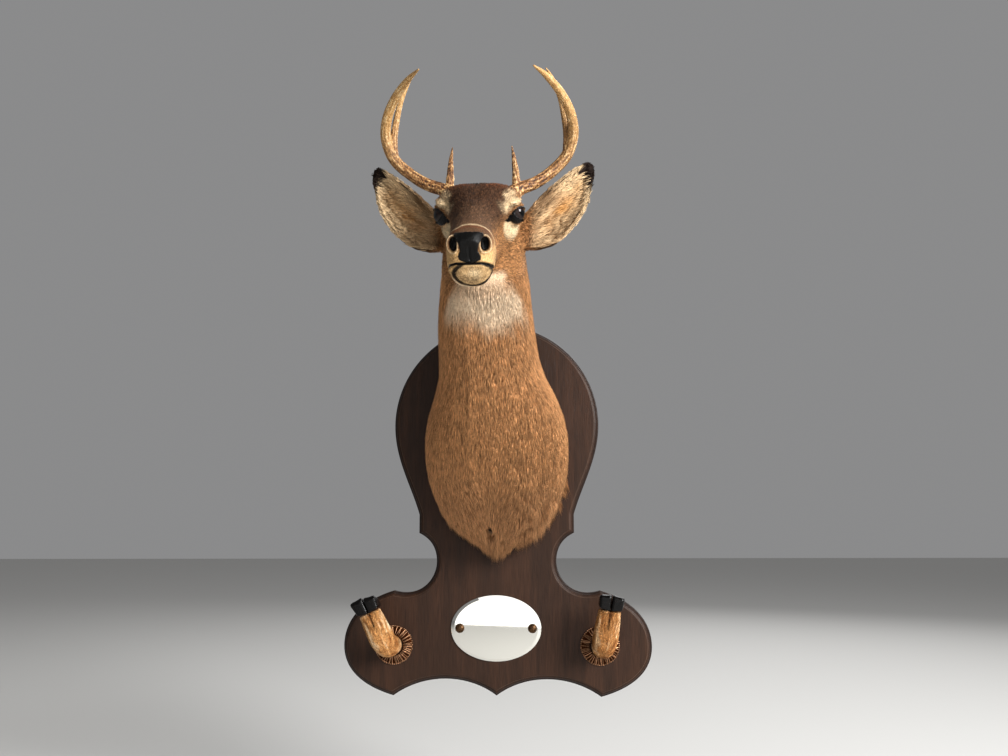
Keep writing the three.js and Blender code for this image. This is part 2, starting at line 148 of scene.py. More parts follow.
class Finish:
    """A material round one Principled shader, whose sockets are set by name."""

    def __init__(self, name, **sockets):
        self.material = bpy.data.materials.new(name)
        self.material.use_nodes = True
        self.tree = self.material.node_tree
        self.shader = self.tree.nodes["Principled BSDF"]
        self.set(**sockets)

    def link(self, socket, value):
        value = colour(value) if isinstance(value, str) else value
        if isinstance(value, Value):
            self.tree.links.new(value.socket, socket)
        elif np.ndim(value) and len(value) == 3 and len(socket.default_value) == 4:
            socket.default_value = (*value, 1)
        else:
            socket.default_value = value

    def node(self, kind, settings, inputs, output=0):
        node = self.tree.nodes.new(kind)
        for name, value in settings.items():
            if name == "stops":
                self.set_stops(node.color_ramp, value)
            else:
                setattr(node, name, value)
        for name, value in inputs.items():
            self.link(node.inputs[name], value)
        return Value(self, node.outputs[output])

    def set_stops(self, ramp, stops):
        while len(ramp.elements) < len(stops):
            ramp.elements.new(0.5)
        for element, (position, shade) in zip(ramp.elements, stops):
            element.position = position
            element.color = (*(colour(shade) if isinstance(shade, str) else shade), 1)

    def set(self, **sockets):
        for name, value in sockets.items():
            self.link(self.shader.inputs[name.replace("_", " ")], value)

    def place(self, stretch=(1, 1, 1)):
        """The point on the object, in metres, squeezed along each axis."""
        here = self.node("ShaderNodeTexCoord", {}, {}, "Object")
        return self.node("ShaderNodeVectorMath", {"operation": "MULTIPLY"}, {0: here, 1: stretch})

    def noise(self, per_metre, detail=3, stretch=(1, 1, 1), twist=0.0):
        inputs = {"Vector": self.place(stretch), "Scale": per_metre, "Detail": detail, "Distortion": twist}
        return self.node("ShaderNodeTexNoise", {}, inputs, "Fac")

    def cells(self, per_metre):
        inputs = {"Vector": self.place(), "Scale": per_metre}
        return self.node("ShaderNodeTexVoronoi", {}, inputs, "Distance")

    def stored(self, name, output="Fac"):
        return self.node("ShaderNodeAttribute", {"attribute_name": name}, {}, output)

    def ramp(self, value, *stops):
        return self.node("ShaderNodeValToRGB", {"stops": stops}, {"Fac": value}, "Color")

    def spread(self, value, low, high, to_low=0.0, to_high=1.0):
        return self.node("ShaderNodeMapRange", {}, dict(enumerate((value, low, high, to_low, to_high))))

    def mix(self, factor, first, second, blend="MIX"):
        """Two colours mixed. Sockets 6 and 7 are the node's colour pair."""
        settings = {"data_type": "RGBA", "blend_type": blend}
        return self.node("ShaderNodeMix", settings, {0: factor, 6: first, 7: second}, 2)

    def bump(self, height, depth):
        self.set(Normal=self.node("ShaderNodeBump", {}, {"Height": height, "Distance": depth}, "Normal"))


# ---- objects ----

def table(items, name, width=3, kind=float):
    """One property of all of a mesh's points, edges or faces, as the rows of an array."""
    values = np.empty(width * len(items), kind)
    items.foreach_get(name, values)
    return values.reshape(-1, width)


def points_of(mesh):
    return table(mesh.vertices, "co")


def faces_of(mesh):
    return [tuple(face.vertices) for face in mesh.polygons]


def put_points(mesh, points):
    mesh.vertices.foreach_set("co", points.ravel())
    mesh.update()


def edges_of(mesh):
    return table(mesh.edges, "vertices", 2, int)


def normals_of(mesh):
    return table(mesh.vertex_normals, "vector")


def object_of(name, mesh):
    piece = bpy.data.objects.new(name, mesh)
    bpy.context.scene.collection.objects.link(piece)
    return piece


def mesh_of(name, points, faces):
    mesh = bpy.data.meshes.new(name)
    mesh.from_pydata([tuple(p) for p in points], [], faces)
    mesh.validate()
    return mesh


def finished(name, mesh, finish, replaces=(), smooth=True):
    """Makes a mesh one of the object's pieces."""
    piece = object_of(name, mesh)
    mesh.materials.clear()
    mesh.materials.append(finish.material)
    (mesh.shade_smooth if smooth else mesh.shade_flat)()
    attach(piece, "root")
    if replaces:
        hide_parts(*replaces)


def modified(mesh, kind, group=(), **settings):
    """The mesh as one modifier leaves it, at all points or at a group of them."""
    bench = object_of("bench", mesh)
    modifier = bench.modifiers.new("step", kind)
    if len(group):
        bench.vertex_groups.new(name="chosen").add(group.tolist(), 1, "REPLACE")
        modifier.vertex_group = "chosen"
    for name, value in settings.items():
        setattr(modifier, name, value)
    bpy.context.view_layer.update()
    result = bpy.data.meshes.new_from_object(bench.evaluated_get(bpy.context.evaluated_depsgraph_get()))
    bpy.data.objects.remove(bench)
    return result


@contextlib.contextmanager
def opened(mesh):
    """A mesh laid open for edits, which are written back afterwards."""
    work = bmesh.new()
    work.from_mesh(mesh)
    yield work
    work.to_mesh(mesh)
    work.free()
    mesh.update()


def loft_faces(count, total):
    """The faces of a closed loft through rings of `count` points each, with both ends capped."""
    faces = [tuple(range(count))[::-1], tuple(range(total - count, total))]
    for start in range(0, total - count, count):
        ring = [(start + k, start + (k + 1) % count) for k in range(count)]
        faces += [(a, b, b + count, a + count) for a, b in ring]
    return faces


def joined(sources):
    """One mesh of several (points, faces) pairs."""
    points, faces, start = [], [], 0
    for some_points, some_faces in sources:
        points.append(some_points)
        faces += [tuple(start + i for i in face) for face in some_faces]
        start += len(some_points)
    return mesh_of("joined", np.concatenate(points), faces)


def cast(nodes, voxel):
    """One closed mesh of even small faces round several of the frame's nodes."""
    solids = [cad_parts[node].data for node in nodes]
    sources = [(points_of(solid), faces_of(solid)) for solid in solids]
    return modified(joined(sources), "REMESH", mode="VOXEL", voxel_size=voxel)


def smoothed(points, edges, passes, weight=1.0):
    """Evens out a surface without shrinking it much: each pass draws points in, then lets them out."""
    first, second = edges.T
    count = np.bincount(edges.ravel(), minlength=len(points))[:, None]
    weight = np.broadcast_to(weight, len(points))[:, None]
    for turn in range(2 * passes):
        near = [np.bincount(first, points[second, k], len(points)) for k in range(3)]
        far = [np.bincount(second, points[first, k], len(points)) for k in range(3)]
        mean = (np.array(near) + np.array(far)).T / count
        points = points + weight * (mean - points) * (0.5 if turn % 2 == 0 else -0.52)
    return points


# ---- where things are on the buck ----

def ear_share(points):
    """1 on the ears, 0 on the head, and between the two at their roots."""
    across = np.abs(in_head(points)[0])
    return ease(across, 72, 88) * ease(points[:, 2], 0.612, 0.632)


def neck_share(points):
    """1 on the neck and trunk, 0 on the head."""
    _, along, up = in_head(points)
    return np.maximum(ease(up, -82, -118), ease(along, 285, 335))


EYES = {name: sum(np.array(corner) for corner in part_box(f"eye_{name}")) / 2 for name in SIDES}
FRONT_CORNER, BACK_CORNER = 84, 48  # degrees of the eyeball from the middle of the opening to its corners
UPPER_LID, LOWER_LID = 27, 37  # degrees from the middle line to the lids


def eye_axes(side):
    """The way an eye looks, the way to its front corner, and up."""
    gaze = unit(0.80 * side * ACROSS - 0.58 * ALONG + 0.10 * UP)
    top = unit(UP - (UP @ gaze) * gaze)
    return gaze, np.cross(gaze, top) * -side, top


def eye_opening(points, name):
    """Millimetres inside the opening between the lids and from the eye's middle, and the angle up."""
    gaze, front, top = eye_axes(SIDES[name])
    spoke = points - EYES[name]
    reach = np.linalg.norm(spoke, axis=1)
    ray = spoke / reach[:, None]
    sideways = np.degrees(np.arctan2(ray @ front, ray @ gaze))
    upward = np.degrees(np.arcsin(np.clip(ray @ top, -1, 1))) + 0.20 * sideways
    room = 1 - np.abs(sideways / np.where(sideways > 0, FRONT_CORNER, BACK_CORNER)) ** 2.3
    inside = np.minimum(UPPER_LID * room - upward, upward + LOWER_LID * room)
    return math.radians(1) * EYE_RADIUS / MM * inside, reach / MM, upward


# Half the width of the nose pad, by degrees round from the chin to the top of the nose.
PAD_HALF = ([-21, -17, -9, 2, 16, 34, 50, 57, 71], [0, 7, 14.5, 15.5, 12.3, 13.3, 18, 19.7, 19])
# The height of the mouth's line, by millimetres back from the nose.
MOUTH_LINE = ([-5, 0, 6, 12, 28, 50, 75], [-18.3, -20.5, -23.8, -27, -37, -42, -44])
MOUTH_END = 75


def nose_marks(points):
    """How deep a point is in the nose pad, the nostrils and the line of the mouth."""
    across, along, up = in_head(points)
    across = across - 1 - 4 * ease(-up, 5, 35) * ease(along, 130, 60)
    turn = np.degrees(np.arctan2(up + 10, 22 - along))  # from the chin, round the front, to the top
    half = np.interp(turn, *PAD_HALF)
    half = half + 0.7 * lumps(points, 0.004, 12) * ease(turn, 45, 60)
    brow = 0.45 * (65 + 7 * (across / 19) ** 2 + 2.5 * lumps(points, 0.003, 13) - turn)
    pad = np.where(along < 24, np.minimum(half - np.abs(across), brow), -20)
    wing = np.abs(across) - 21.5 - 0.03 * (turn - 36)
    nostril = 1 - np.hypot(wing / 5.8, (turn - 36) / 21.5)
    nostril = np.where(along < 30, nostril, -5)
    mouth = np.hypot(up - np.interp(along, *MOUTH_LINE), np.maximum(along - MOUTH_END, 0))
    groove = np.abs(across) + 6 * ease(turn, 25, 45) + np.maximum(turn - 45, 0)
    return pad, nostril, mouth, groove


def near(points, start, end, radius):
    """1 on the line between two points of the head frame, falling to 0 at the radius, in millimetres."""
    a, b = from_head(*start), from_head(*end)
    along = np.clip((points - a) @ (b - a) / max((b - a) @ (b - a), 1e-12), 0, 1)
    distance = np.linalg.norm(points - a - along[:, None] * (b - a), axis=1) / MM
    return ease(distance, radius, 0)


def beside(points, way, start, end, radius):
    """The same as near, on the left of the head or mirrored to its right."""
    return near(points, (way * start[0], *start[1:]), (way * end[0], *end[1:]), radius)


# ---- the skin ----

def coat_depth(points):
    """How far the hair stands off the skin."""
    face = 0.3 + 2.4 * ease(in_head(points)[1], 25, 150)
    neck, ear = neck_share(points), ear_share(points)
    return ((face * (1 - neck) + 5.5 * neck) * (1 - ear) + 1.1 * ear) * MM


def carve(points, normals):
    """Presses the nostrils, mouth, lids and hollows into the skin."""
    pad, nostril, mouth, groove = nose_marks(points)
    side = np.sign(in_head(points)[0])
    lift = 1.3 * ease(pad, -1, 2.5) - 1.0 * ease(groove, 2.2, 0) * ease(pad, -1, 1)
    lift += 1.5 * np.exp(-((nostril + 0.22) / 0.14) ** 2)
    lift -= 2.6 * np.exp(-(mouth / 1.5) ** 2) - 0.9 * np.exp(-((mouth - 4) / 2) ** 2)
    for way in (-1, 1):
        for height, *line in FACE_FORMS:
            lift += height * beside(points, way, *line)
    lift -= 2.5 * near(points, (0, 215, 46), (0, 150, 40), 24)
    lift -= 6 * ease(chest_spot(points), 7.5, 3)
    points = points + normals * lift[:, None] * MM
    inward = unit(-0.35 * side[:, None] * ACROSS + ALONG)
    points = points + inward * (11 * MM * np.sqrt(np.clip(nostril, 0, 1)))[:, None]
    for name in SIDES:
        points = lidded(points, name)
    return points


def lidded(points, name):
    """Lays the skin over the eyeball, open between the lids."""
    inside, reach, upward = eye_opening(points, name)
    eyeball = EYE_RADIUS / MM
    crease = 0.9 * np.exp(-((inside + 4.5) / 1.1) ** 2) * ease(upward, 0, 8)
    lid = eyeball + LID / MM + 0.7 * np.exp(-((inside + 1.4) / 1.2) ** 2) - crease
    closed = np.maximum(reach, lid)
    wanted = closed + (eyeball - 3 - closed) * ease(inside, -0.5, 0.7)
    gaze = eye_axes(SIDES[name])[0]
    facing = (points - EYES[name]) @ gaze / MM
    share = ease(reach, 34, 27) * ease(facing, -4, 1)
    spoke = (points - EYES[name]) / reach[:, None]
    return points + spoke * ((wanted - reach) * share)[:, None]


def chest_spot(points):
    """Millimetres from the dark spot low on the chest, seen from the front."""
    across, height = points[:, 0] / MM + 5, points[:, 2] / MM - 181
    return np.where(points[:, 1] < -0.05, np.hypot(across, height), 99)


def subdivide(mesh, wanted):
    """Halves the faces whose middles are wanted."""
    with opened(mesh) as work:
        chosen = wanted(np.array([face.calc_center_median() for face in work.faces]))
        edges = {edge for face, pick in zip(work.faces, chosen) if pick for edge in face.edges}
        edges = sorted(edges, key=lambda edge: edge.index)
        bmesh.ops.subdivide_edges(work, edges=edges, cuts=1, use_grid_fill=True)
        bmesh.ops.triangulate(work, faces=[face for face in work.faces if len(face.verts) > 4])


def fine_places(points):
    across, along, up = in_head(points)
    nose = (along < 42) & (up > -75)
    mouth = (along < 84) & (np.abs(up + 40) < 12) & (np.abs(across) > 15)
    eyes = [np.linalg.norm(points - centre, axis=1) < 0.031 for centre in EYES.values()]
    return nose | mouth | np.any(eyes, axis=0)


def bare_skin():
    """The flesh nodes as one even mesh, drawn in by the depth of the coat."""
    eyeballs = [f"eye_{name}" for name in SIDES]
    mesh = cast(FLESH + eyeballs, SKIN_VOXEL)
    points = points_of(mesh)
    edges = edges_of(mesh)
    head = (1 - neck_share(points)) * (1 - ear_share(points))
    points = smoothed(points, edges, 10, 1 - 0.6 * ear_share(points))
    points = smoothed(points, edges, 45, 1 - np.maximum(0.9 * head, ear_share(points)))
    put_points(mesh, points)
    plain = np.flatnonzero(neck_share(points) * (1 - ear_share(points)) > 0.5)
    mesh = modified(mesh, "DECIMATE", plain, ratio=PLAIN_SKIN_KEPT)
    subdivide(mesh, fine_places)
    points = points_of(mesh)
    points = smoothed(points, edges_of(mesh), 2, 1 - ear_share(points))
    put_points(mesh, points)
    put_points(mesh, points - normals_of(mesh) * coat_depth(points)[:, None])
    return mesh


# ---- the coat's markings and lie ----

GOLDEN, NAPE, CHEST, THROAT = map(colour, ("c18c5d", "644127", "b3845d", "ffe4c2"))
MUZZLE, FOREHEAD, CROWN, RUFOUS = map(colour, ("5d432f", "472f1f", "36210f", "7d4828"))
CHEEK, CREAM, BROW, CHIN = map(colour, ("a17349", "f0d9b0", "ecd0a6", "c2a072"))
LIP_GOLD, BLACK = map(colour, ("cda672", "080706"))
EAR_IN, EAR_GOLD, EAR_BACK, EAR_EDGE = map(colour, ("ddbf95", "b38146", "604226", "21150e"))

# Patches beside each eye, given on the left: strength, ends of the middle line, radius, colour.
EYE_PATCHES = [
    (0.6, (26, 214, 44), (50, 236, 40), 30, RUFOUS),
    (1.2, (44, 172, 16), (57, 189, 26), 12, BROW),
    (0.7, (42, 186, 28), (53, 204, 32), 11, BROW),
    (0.25, (36, 156, 20), (45, 172, 16), 14, BROW),
    (1.6, (53, 181, 11), (65, 199, 19), 9, BROW),
    (1.8, (45, 171, -14), (56, 206, -23), 15, CREAM),
    (1.2, (47, 178, -23), (55, 205, -33), 15, CREAM),
]
# The bare black corner in front of each eye, down to the tear groove: line ends and radius.
EYE_CORNER = [
    ((58, 197, -4), (50, 184, -3), 11),
    ((57, 195, 4), (49, 182, -1), 7.5),
    ((50, 184, -3), (45, 168, -3), 6.5),
    ((45, 168, -3), (43, 159, -3), 3),
]
# Hollows and swellings of the face: lift in millimetres, line ends and radius.
FACE_FORMS = [
    (-3.5, (46, 172, -10), (38, 118, -14), 26),
    (-2.0, (51, 188, -3), (44, 162, -3), 4),
    (2.0, (60, 225, -24), (52, 180, -34), 16),
]


def layers(count, base):
    """A table of one colour, and the way to lay another over it through a mask."""
    shades = np.tile(base, (count, 1))

    def lay(mask, shade):
        share = np.clip(mask, 0, 1)[:, None]
        shades[:] = shades * (1 - share) + shade * share

    return shades, lay


def markings(points, normals):
    """The colour of the coat at each point of the skin, and how bare and wet the skin is there."""
    across, along, up = in_head(points)
    pad, nostril, mouth, _ = nose_marks(points)
    wide = np.abs(across)
    drift = 6 * lumps(points, 0.030, 1) + 3 * lumps(points, 0.011, 2)
    shades, lay = layers(len(points), GOLDEN)
    head, ear = 1 - neck_share(points), ear_share(points)
    height = points[:, 2] / MM
    # the neck and chest
    lay(0.75 * ease(normals[:, 1], 0.1, 0.8) * (1 - ear), NAPE)
    lay(0.55 * ease(height + 2 * drift, 330, 190), CHEST)
    front = ease(-normals[:, 1], 0.15, 0.55)
    middle = np.abs(points[:, 0] / MM + 0.5 + 0.6 * drift)
    low = 507 + 0.0055 * middle ** 2 + 1.6 * drift
    half = np.interp(height, [500, 536, 556, 570, 585], [66, 67, 61, 46, 32])
    throat = ease(height, low - 20, low + 22) * ease(middle, half + 9, half - 9) * front
    lay(throat * (1 - head), THROAT)
    # Under the jaw: dark hair plus a painted shadow of the jaw, both in the nape's brown.
    lay(0.8 * throat * near(points, (-24, 150, -90), (-2, 150, -94), 38), NAPE)
    # the head
    face = head * (1 - ear)
    lay(face, CHEEK)
    top = ease(up - 0.25 * wide, -22, 12)
    lay(face * top * np.maximum(ease(along, 130, 60), ease(wide, 60, 40)), MUZZLE)
    lay(face * top * ease(along + drift, 70, 150) * ease(wide, 56, 34), FOREHEAD)
    lay(face * ease(up, 5, 30) * ease(along + drift, 205, 240), CROWN)
    for way in (-1, 1):
        for strength, first, last, radius, shade in EYE_PATCHES:
            lay(strength * beside(points, way, first, last, radius) * face, shade)
    jaw = ease(up + 0.10 * along + 0.4 * drift, -60, -74) * ease(wide + 0.5 * drift, 40, 28)
    lay(face * jaw, THROAT)
    # the pale line behind the nose, the lips and the chin
    band = along - 30 + 9 * ease(-across, 5, 20) - 0.8 * np.maximum(24 - up, 0) * ease(wide, 8, 26)
    lay(0.8 * face * np.exp(-(band / 2.3) ** 2) * ease(up, -34, -20), BROW)
    lay(0.75 * face * np.exp(-((band + 6) / 4.5) ** 2) * ease(up, -4, 8), RUFOUS * 0.7)
    lay(0.7 * face * ease(band, 2, -6) * ease(up, 8, 0), CHEEK * 0.8)
    lips = face * ease(band + 0.5 * drift, 2, -6) * ease(up + 0.5 * drift, 0, -10)
    lay(lips, LIP_GOLD)
    lay(0.8 * face * ease(band, -2, 3) * ease(up, -8, -20) * ease(along, 70, 45), CREAM)
    oval = (np.abs((across - 5) / 23) ** 1.75 + np.abs((up + 34.5) / 16) ** 1.75) ** (1 / 1.75)
    low_jaw = face * ease(along, 58, 44) * ease(mouth * np.sign(-20 - up), -1, 1)
    lay(low_jaw * ease(oval, 1.25, 1.4) * ease(up, -38, -46), THROAT)
    lay(low_jaw * ease(oval, 1.1, 1.0), CHIN)
    lay(0.6 * low_jaw * ease(oval, 0.75, 0.3) * (0.5 + 0.5 * lumps(points, 0.006, 8)), CREAM)
    # A black line round the lower edge of the chin: partly the dark lip marking, partly painted shade where
    # the chin turns under to the throat.
    rim = ease(oval, 0.96, 1.04) * ease(oval, 1.34, 1.22) * ease(up, -14, -22)
    lay(0.97 * low_jaw * rim * ease(along, 46, 24), BLACK)
    flecks = ease(lumps(points, 0.0032, 14), 0, 0.5)
    lay(0.5 * low_jaw * flecks * ease(oval, 1, 0.8) * ease(up, -28, -44), MUZZLE)
    # the ears
    inner = ear * ease(-normals[:, 1], -0.05, 0.25)
    lay(ear, EAR_BACK)
    lay(inner, EAR_IN)
    reach = ease(wide, 88, 172)
    above = height - 664 - 0.80 * (wide - 70)  # over the middle line of the ear
    heart = np.exp(-(above / 17) ** 2) * ease(wide, 80, 110) * ease(wide, 170, 140)
    lay(0.85 * heart * inner * (0.75 + 0.6 * lumps(points, 0.012, 5)), EAR_GOLD)
    lay(inner * (0.35 + 0.4 * lumps(points, 0.016, 6)) * (1 - reach), CHEEK)
    lay(0.8 * inner * ease(above, 12, 26) * ease(wide, 122, 98), EAR_BACK)
    lay(ear * ease(wide + 0.55 * (height - 760) + 0.7 * drift, 155, 163), EAR_EDGE)
    rim = ear * (1 - ease(np.abs(normals[:, 1]), 0.08, 0.38))
    lay(0.8 * rim * ease(wide, 82, 100), EAR_EDGE)
    # what is bare
    wet = np.maximum.reduce([ease(pad, -0.4, 0.4), ease(nostril, -0.04, 0.06), ease(mouth, 2.3, 1.4)]) * face
    lay(0.85 * face * np.exp(-((nostril + 0.22) / 0.09) ** 2) * ease(pad, 0.5, -0.8), BROW)
    for name in SIDES:
        inside, reach, _ = eye_opening(points, name)
        close = ease(reach, 30, 25)
        wet = np.maximum(wet, ease(inside, -3.6, -2.6) * close)
        for corner in EYE_CORNER:
            wet = np.maximum(wet, ease(beside(points, SIDES[name], *corner), 0.25, 0.4))
    wet = np.maximum(wet, ease(chest_spot(points), 6.6, 5.4))
    lay(wet, BLACK)
    shades *= (1 + 0.08 * lumps(points, 0.05, 3) + 0.12 * lumps(points, 0.007, 4) * (1 - wet))[:, None]
    return shades, wet


def lie(points, normals):
    """The way the hair points along the skin."""
    across, _, up = in_head(points)
    neck, ear = neck_share(points)[:, None], ear_share(points)[:, None]
    side = np.sign(across)[:, None]
    spread = 0.28 * np.clip((points[:, 0] - 0.004) / 0.12, -1, 1) * ease(points[:, 2], 0.42, 0.28)
    down = np.stack([spread, 0.25 * ease(normals[:, 1], 0, 0.6), -np.ones(len(points))], axis=1)
    back = ALONG + 0.15 * side * ACROSS - 0.3 * UP * ease(up, -20, -60)[:, None]
    ear_tip = side * np.array([0.68, 0, 0]) + np.array([0, -0.10, 0.72])
    out = np.sign(points[:, 2:] - 0.664 - 0.86 * (np.abs(points[:, :1] + 0.006) - 0.046))
    ear_way = ear_tip + 0.55 * out * np.array([0, 0, 1.0]) * ease(-normals[:, 1], 0, 0.5)[:, None]
    way = (back * (1 - neck) + down * neck) * (1 - ear) + ear_way * ear
    way += 0.10 * np.stack([lumps(points, 0.02, seed) for seed in (7, 8, 9)], axis=1)
    return unit(way - (way * normals).sum(1, keepdims=True) * normals)


# Hair by region, in millimetres: length, width, spacing.
HAIR = {
    "nose": (3.0, 0.42, 1.0),
    "face": (5.6, 0.75, 1.42),
    "neck": (16, 1.05, 1.55),
    "ear": (9, 0.8, 1.6),
    "inner_ear": (20, 1.1, 1.8),
}


def hair_plan(points, normals):
    """Length, width and spacing of the tufts at each point."""
    along = in_head(points)[1]
    neck, ear = neck_share(points), ear_share(points)
    inner = ear * ease(-normals[:, 1], 0.2, 0.5)
    shares = {
        "nose": (1 - neck) * (1 - ear) * ease(along, 95, 15),
        "neck": neck * (1 - ear),
        "ear": ear - inner,
        "inner_ear": inner,
    }
    shares["face"] = np.clip(1 - sum(shares.values()), 0, 1)
    return sum(shares[name][:, None] * np.array(HAIR[name]) * MM for name in HAIR).T


# ---- tufts: closed slivers, each from a buried root through one three-cornered section to a tip ----

ROOT_DEPTH = 0.0007
BELLY = 0.42  # how far along a tuft is widest
TUFT_FACES = np.array([(0, 2, 1), (0, 3, 2), (0, 1, 3), (1, 2, 4), (2, 3, 4), (3, 1, 4)])
TUFT_TONES = np.array([0.45, 0.88, 0.98, 0.88, 1.45])
PATCH = 0.003  # a tuft's own patch of its piece's UV map
# A tuft's five points laid out flat, root at the bottom and tip at the top.
PATCH_CORNERS = np.array([(0, -0.5), (0.5, 0), (0, 0), (-0.5, 0), (0, 0.5)])


def tufts(name, roots, finish, surface, unwrap):
    """One piece of coat, from a table of the tufts' roots: place, normal, lie, length, width and so on."""
    place, normal, way = roots["place"], roots["normal"], roots["lie"]
    length, width, rise = roots["length"], roots["width"], roots["rise"]
    count = len(place)
    ends = place + way * length[:, None]
    found = [surface.find_nearest(Vector(end)) for end in ends]
    free = roots["free"][:, None]
    tips = np.array([hit[0] for hit in found]) * (1 - free) + ends * free
    tip_normal = np.array([hit[1] for hit in found])
    turn = np.arccos(np.clip((normal * tip_normal).sum(1), -1, 1))
    middle_normal = unit(normal + tip_normal)
    sag = length * np.minimum(turn, 1.2) / 8
    cross = np.cross(normal, way)
    sway = draw.normal(0, 0.07, count) * length

    def centre(t):
        height = 4 * t * (1 - t) * sag + rise * t - ROOT_DEPTH * (1 - t)
        return place * (1 - t) + tips * t + middle_normal * height[:, None] + cross * (sway * t * t)[:, None]

    middle, half = centre(BELLY), (width / 2)[:, None]
    ridge = middle + middle_normal * half * 0.6
    points = np.stack([centre(0), middle + cross * half, ridge, middle - cross * half, centre(1)], axis=1)
    faces = (TUFT_FACES[None] + 5 * np.arange(count)[:, None, None]).reshape(-1, 3)
    mesh = bpy.data.meshes.new(name)
    mesh.vertices.add(5 * count)
    mesh.vertices.foreach_set("co", points.ravel())
    mesh.loops.add(faces.size)
    mesh.loops.foreach_set("vertex_index", faces.ravel().astype(np.int32))
    mesh.polygons.add(len(faces))
    mesh.polygons.foreach_set("loop_start", np.arange(0, faces.size, 3, dtype=np.int32))
    mesh.update(calc_edges=True)
    grizzle = np.exp(draw.normal(0, roots["grizzle"]))
    tones = 1 + (TUFT_TONES - 1) * roots["contrast"][:, None]
    shade = roots["shade"][:, None, :] * (tones * grizzle[:, None])[:, :, None]
    store_colour(mesh, (shade / np.maximum(shade.max(axis=2, keepdims=True), 1)).reshape(-1, 3))
    spots = unwrap(place)[:, None, :] + PATCH * PATCH_CORNERS[None]
    uv = mesh.uv_layers.new(name="OFBake")
    uv.data.foreach_set("uv", spots.reshape(-1, 2)[faces.ravel()].ravel())
    finished(name, mesh, finish)


def surface_of(mesh):
    return BVHTree.FromPolygons([tuple(point) for point in points_of(mesh)], faces_of(mesh))


def store_colour(mesh, shades):
    layer = mesh.color_attributes.new("coat", "FLOAT_COLOR", "POINT")
    layer.data.foreach_set("color", np.concatenate([shades, np.ones((len(shades), 1))], axis=1).ravel())


def store_value(mesh, name, values):
    mesh.attributes.new(name, "FLOAT", "POINT").data.foreach_set("value", values)


def scatter(mesh, values, spacing):
    """Random places on a mesh, one to each square of the spacing, with the values of its points there."""
    mesh.calc_loop_triangles()
    corners = table(mesh.loop_triangles, "vertices", 3, int)
    points = points_of(mesh)
    a, b, c = (points[corners[:, k]] for k in range(3))
    area = np.linalg.norm(np.cross(b - a, c - a), axis=1) / 2
    share = np.cumsum(area / spacing[corners].mean(axis=1) ** 2)
    chosen = np.searchsorted(share, draw.random(int(share[-1])) * share[-1])
    first, second = np.sqrt(draw.random(len(chosen))), draw.random(len(chosen))
    parts = np.stack([1 - first, first * (1 - second), first * second], axis=1)
    at = {"place": points, "normal": normals_of(mesh), **values}
    return {key: np.einsum("nk,nk...->n...", parts, table[corners[chosen]]) for key, table in at.items()}


def only(roots, keep):
    return {key: table[keep] for key, table in roots.items()}


def wound(start, end, low, high):
    """An unwrap round a line: the angle goes across the map, and the way along the line goes up it."""
    start, end = np.array(start), np.array(end)
    axis = unit(end - start)
    first = unit(np.cross(axis, (0.3, 1, 0.1)))
    second = np.cross(axis, first)

    def unwrap(points):
        spoke = points - start
        angle = np.arctan2(spoke @ second, spoke @ first) / (2 * math.pi) + 0.5
        rise = (spoke @ axis - low) / (high - low)
        return np.stack([0.01 + 0.98 * angle, 0.01 + 0.98 * np.clip(rise, 0, 1)], axis=1)

    return unwrap


TIP_X = 0.002  # where the trunk's lowest tip hangs
LEFT_HANG = 0.055  # beyond this the long hair of the left edge starts
# Across the trunk, how far hanging hair leans towards +X.
HANG_LEAN = ([-0.10, -0.03, TIP_X, 0.035, 0.07, 0.10], [0.25, 0.5, 0, -0.5, 0.1, 0.3])


def hang(roots):
    """Lets the hair at the bottom and the lower edges of the trunk hang free in locks."""
    place, normal = roots["place"], roots["normal"]
    out, height = -place[:, 1] / MM, place[:, 2] / MM
    edge = ease(out, 66, 34) * ease(height, 345, 285)
    under = ease(-normal[:, 2], 0.25, 0.65) * ease(height, 300, 240)
    free = np.maximum(edge, under) * (1 - ear_share(place))
    held = np.where(place[:, 0] > LEFT_HANG, ease(height, 190, 260), 0.4 + 0.6 * ease(height, 140, 200))
    sideways = np.interp(place[:, 0], *HANG_LEAN) * held
    down = np.stack([sideways, 0.05 - 0.25 * ease(out, 60, 30), -np.ones(len(free))], axis=1)
    down = down + 0.16 * np.stack([lumps(place, 0.018, seed) for seed in (21, 22, 23)], axis=1)
    roots["lie"] = unit(roots["lie"] * (1 - free[:, None]) + down * free[:, None])
    ragged = ease(place[:, 0], 0.02, 0.09)
    locks = 1 + free * (0.2 * ragged + (0.4 + 0.7 * ragged) * lumps(place * (1, 1, 0.8), 0.009, 24))
    from_tip, low = np.abs(place[:, 0] - TIP_X), free * ease(height, 165, 140)
    locks = locks + low * (0.6 * ease(from_tip, 0.026, 0.004) - 0.3 * ease(from_tip, 0.02, 0.04))
    locks = locks * (1 - 0.5 * ease(chest_spot(place), 13, 7))
    roots["length"] = roots["length"] * locks
    roots["free"] = free * 0.9


def clear(roots):
    """Shortens the hair that would lie over the eyes, the nose, the mouth and the spot on the chest."""
    near_bare = (neck_share(roots["place"]) < 0.6) & (ear_share(roots["place"]) < 0.3)
    near_bare |= chest_spot(roots["place"]) < 45
    index = np.flatnonzero(near_bare)
    way = (roots["lie"] * roots["length"][:, None])[index]
    keep = np.ones(len(index))
    for share in (1.0, 0.85, 0.7, 0.55, 0.4, 0.25):
        _, wet = markings(roots["place"][index] + way * share, roots["normal"][index])
        keep = np.where(wet > 0.3, share - 0.15, keep)
    roots["length"][index] *= np.maximum(keep, 0.15)


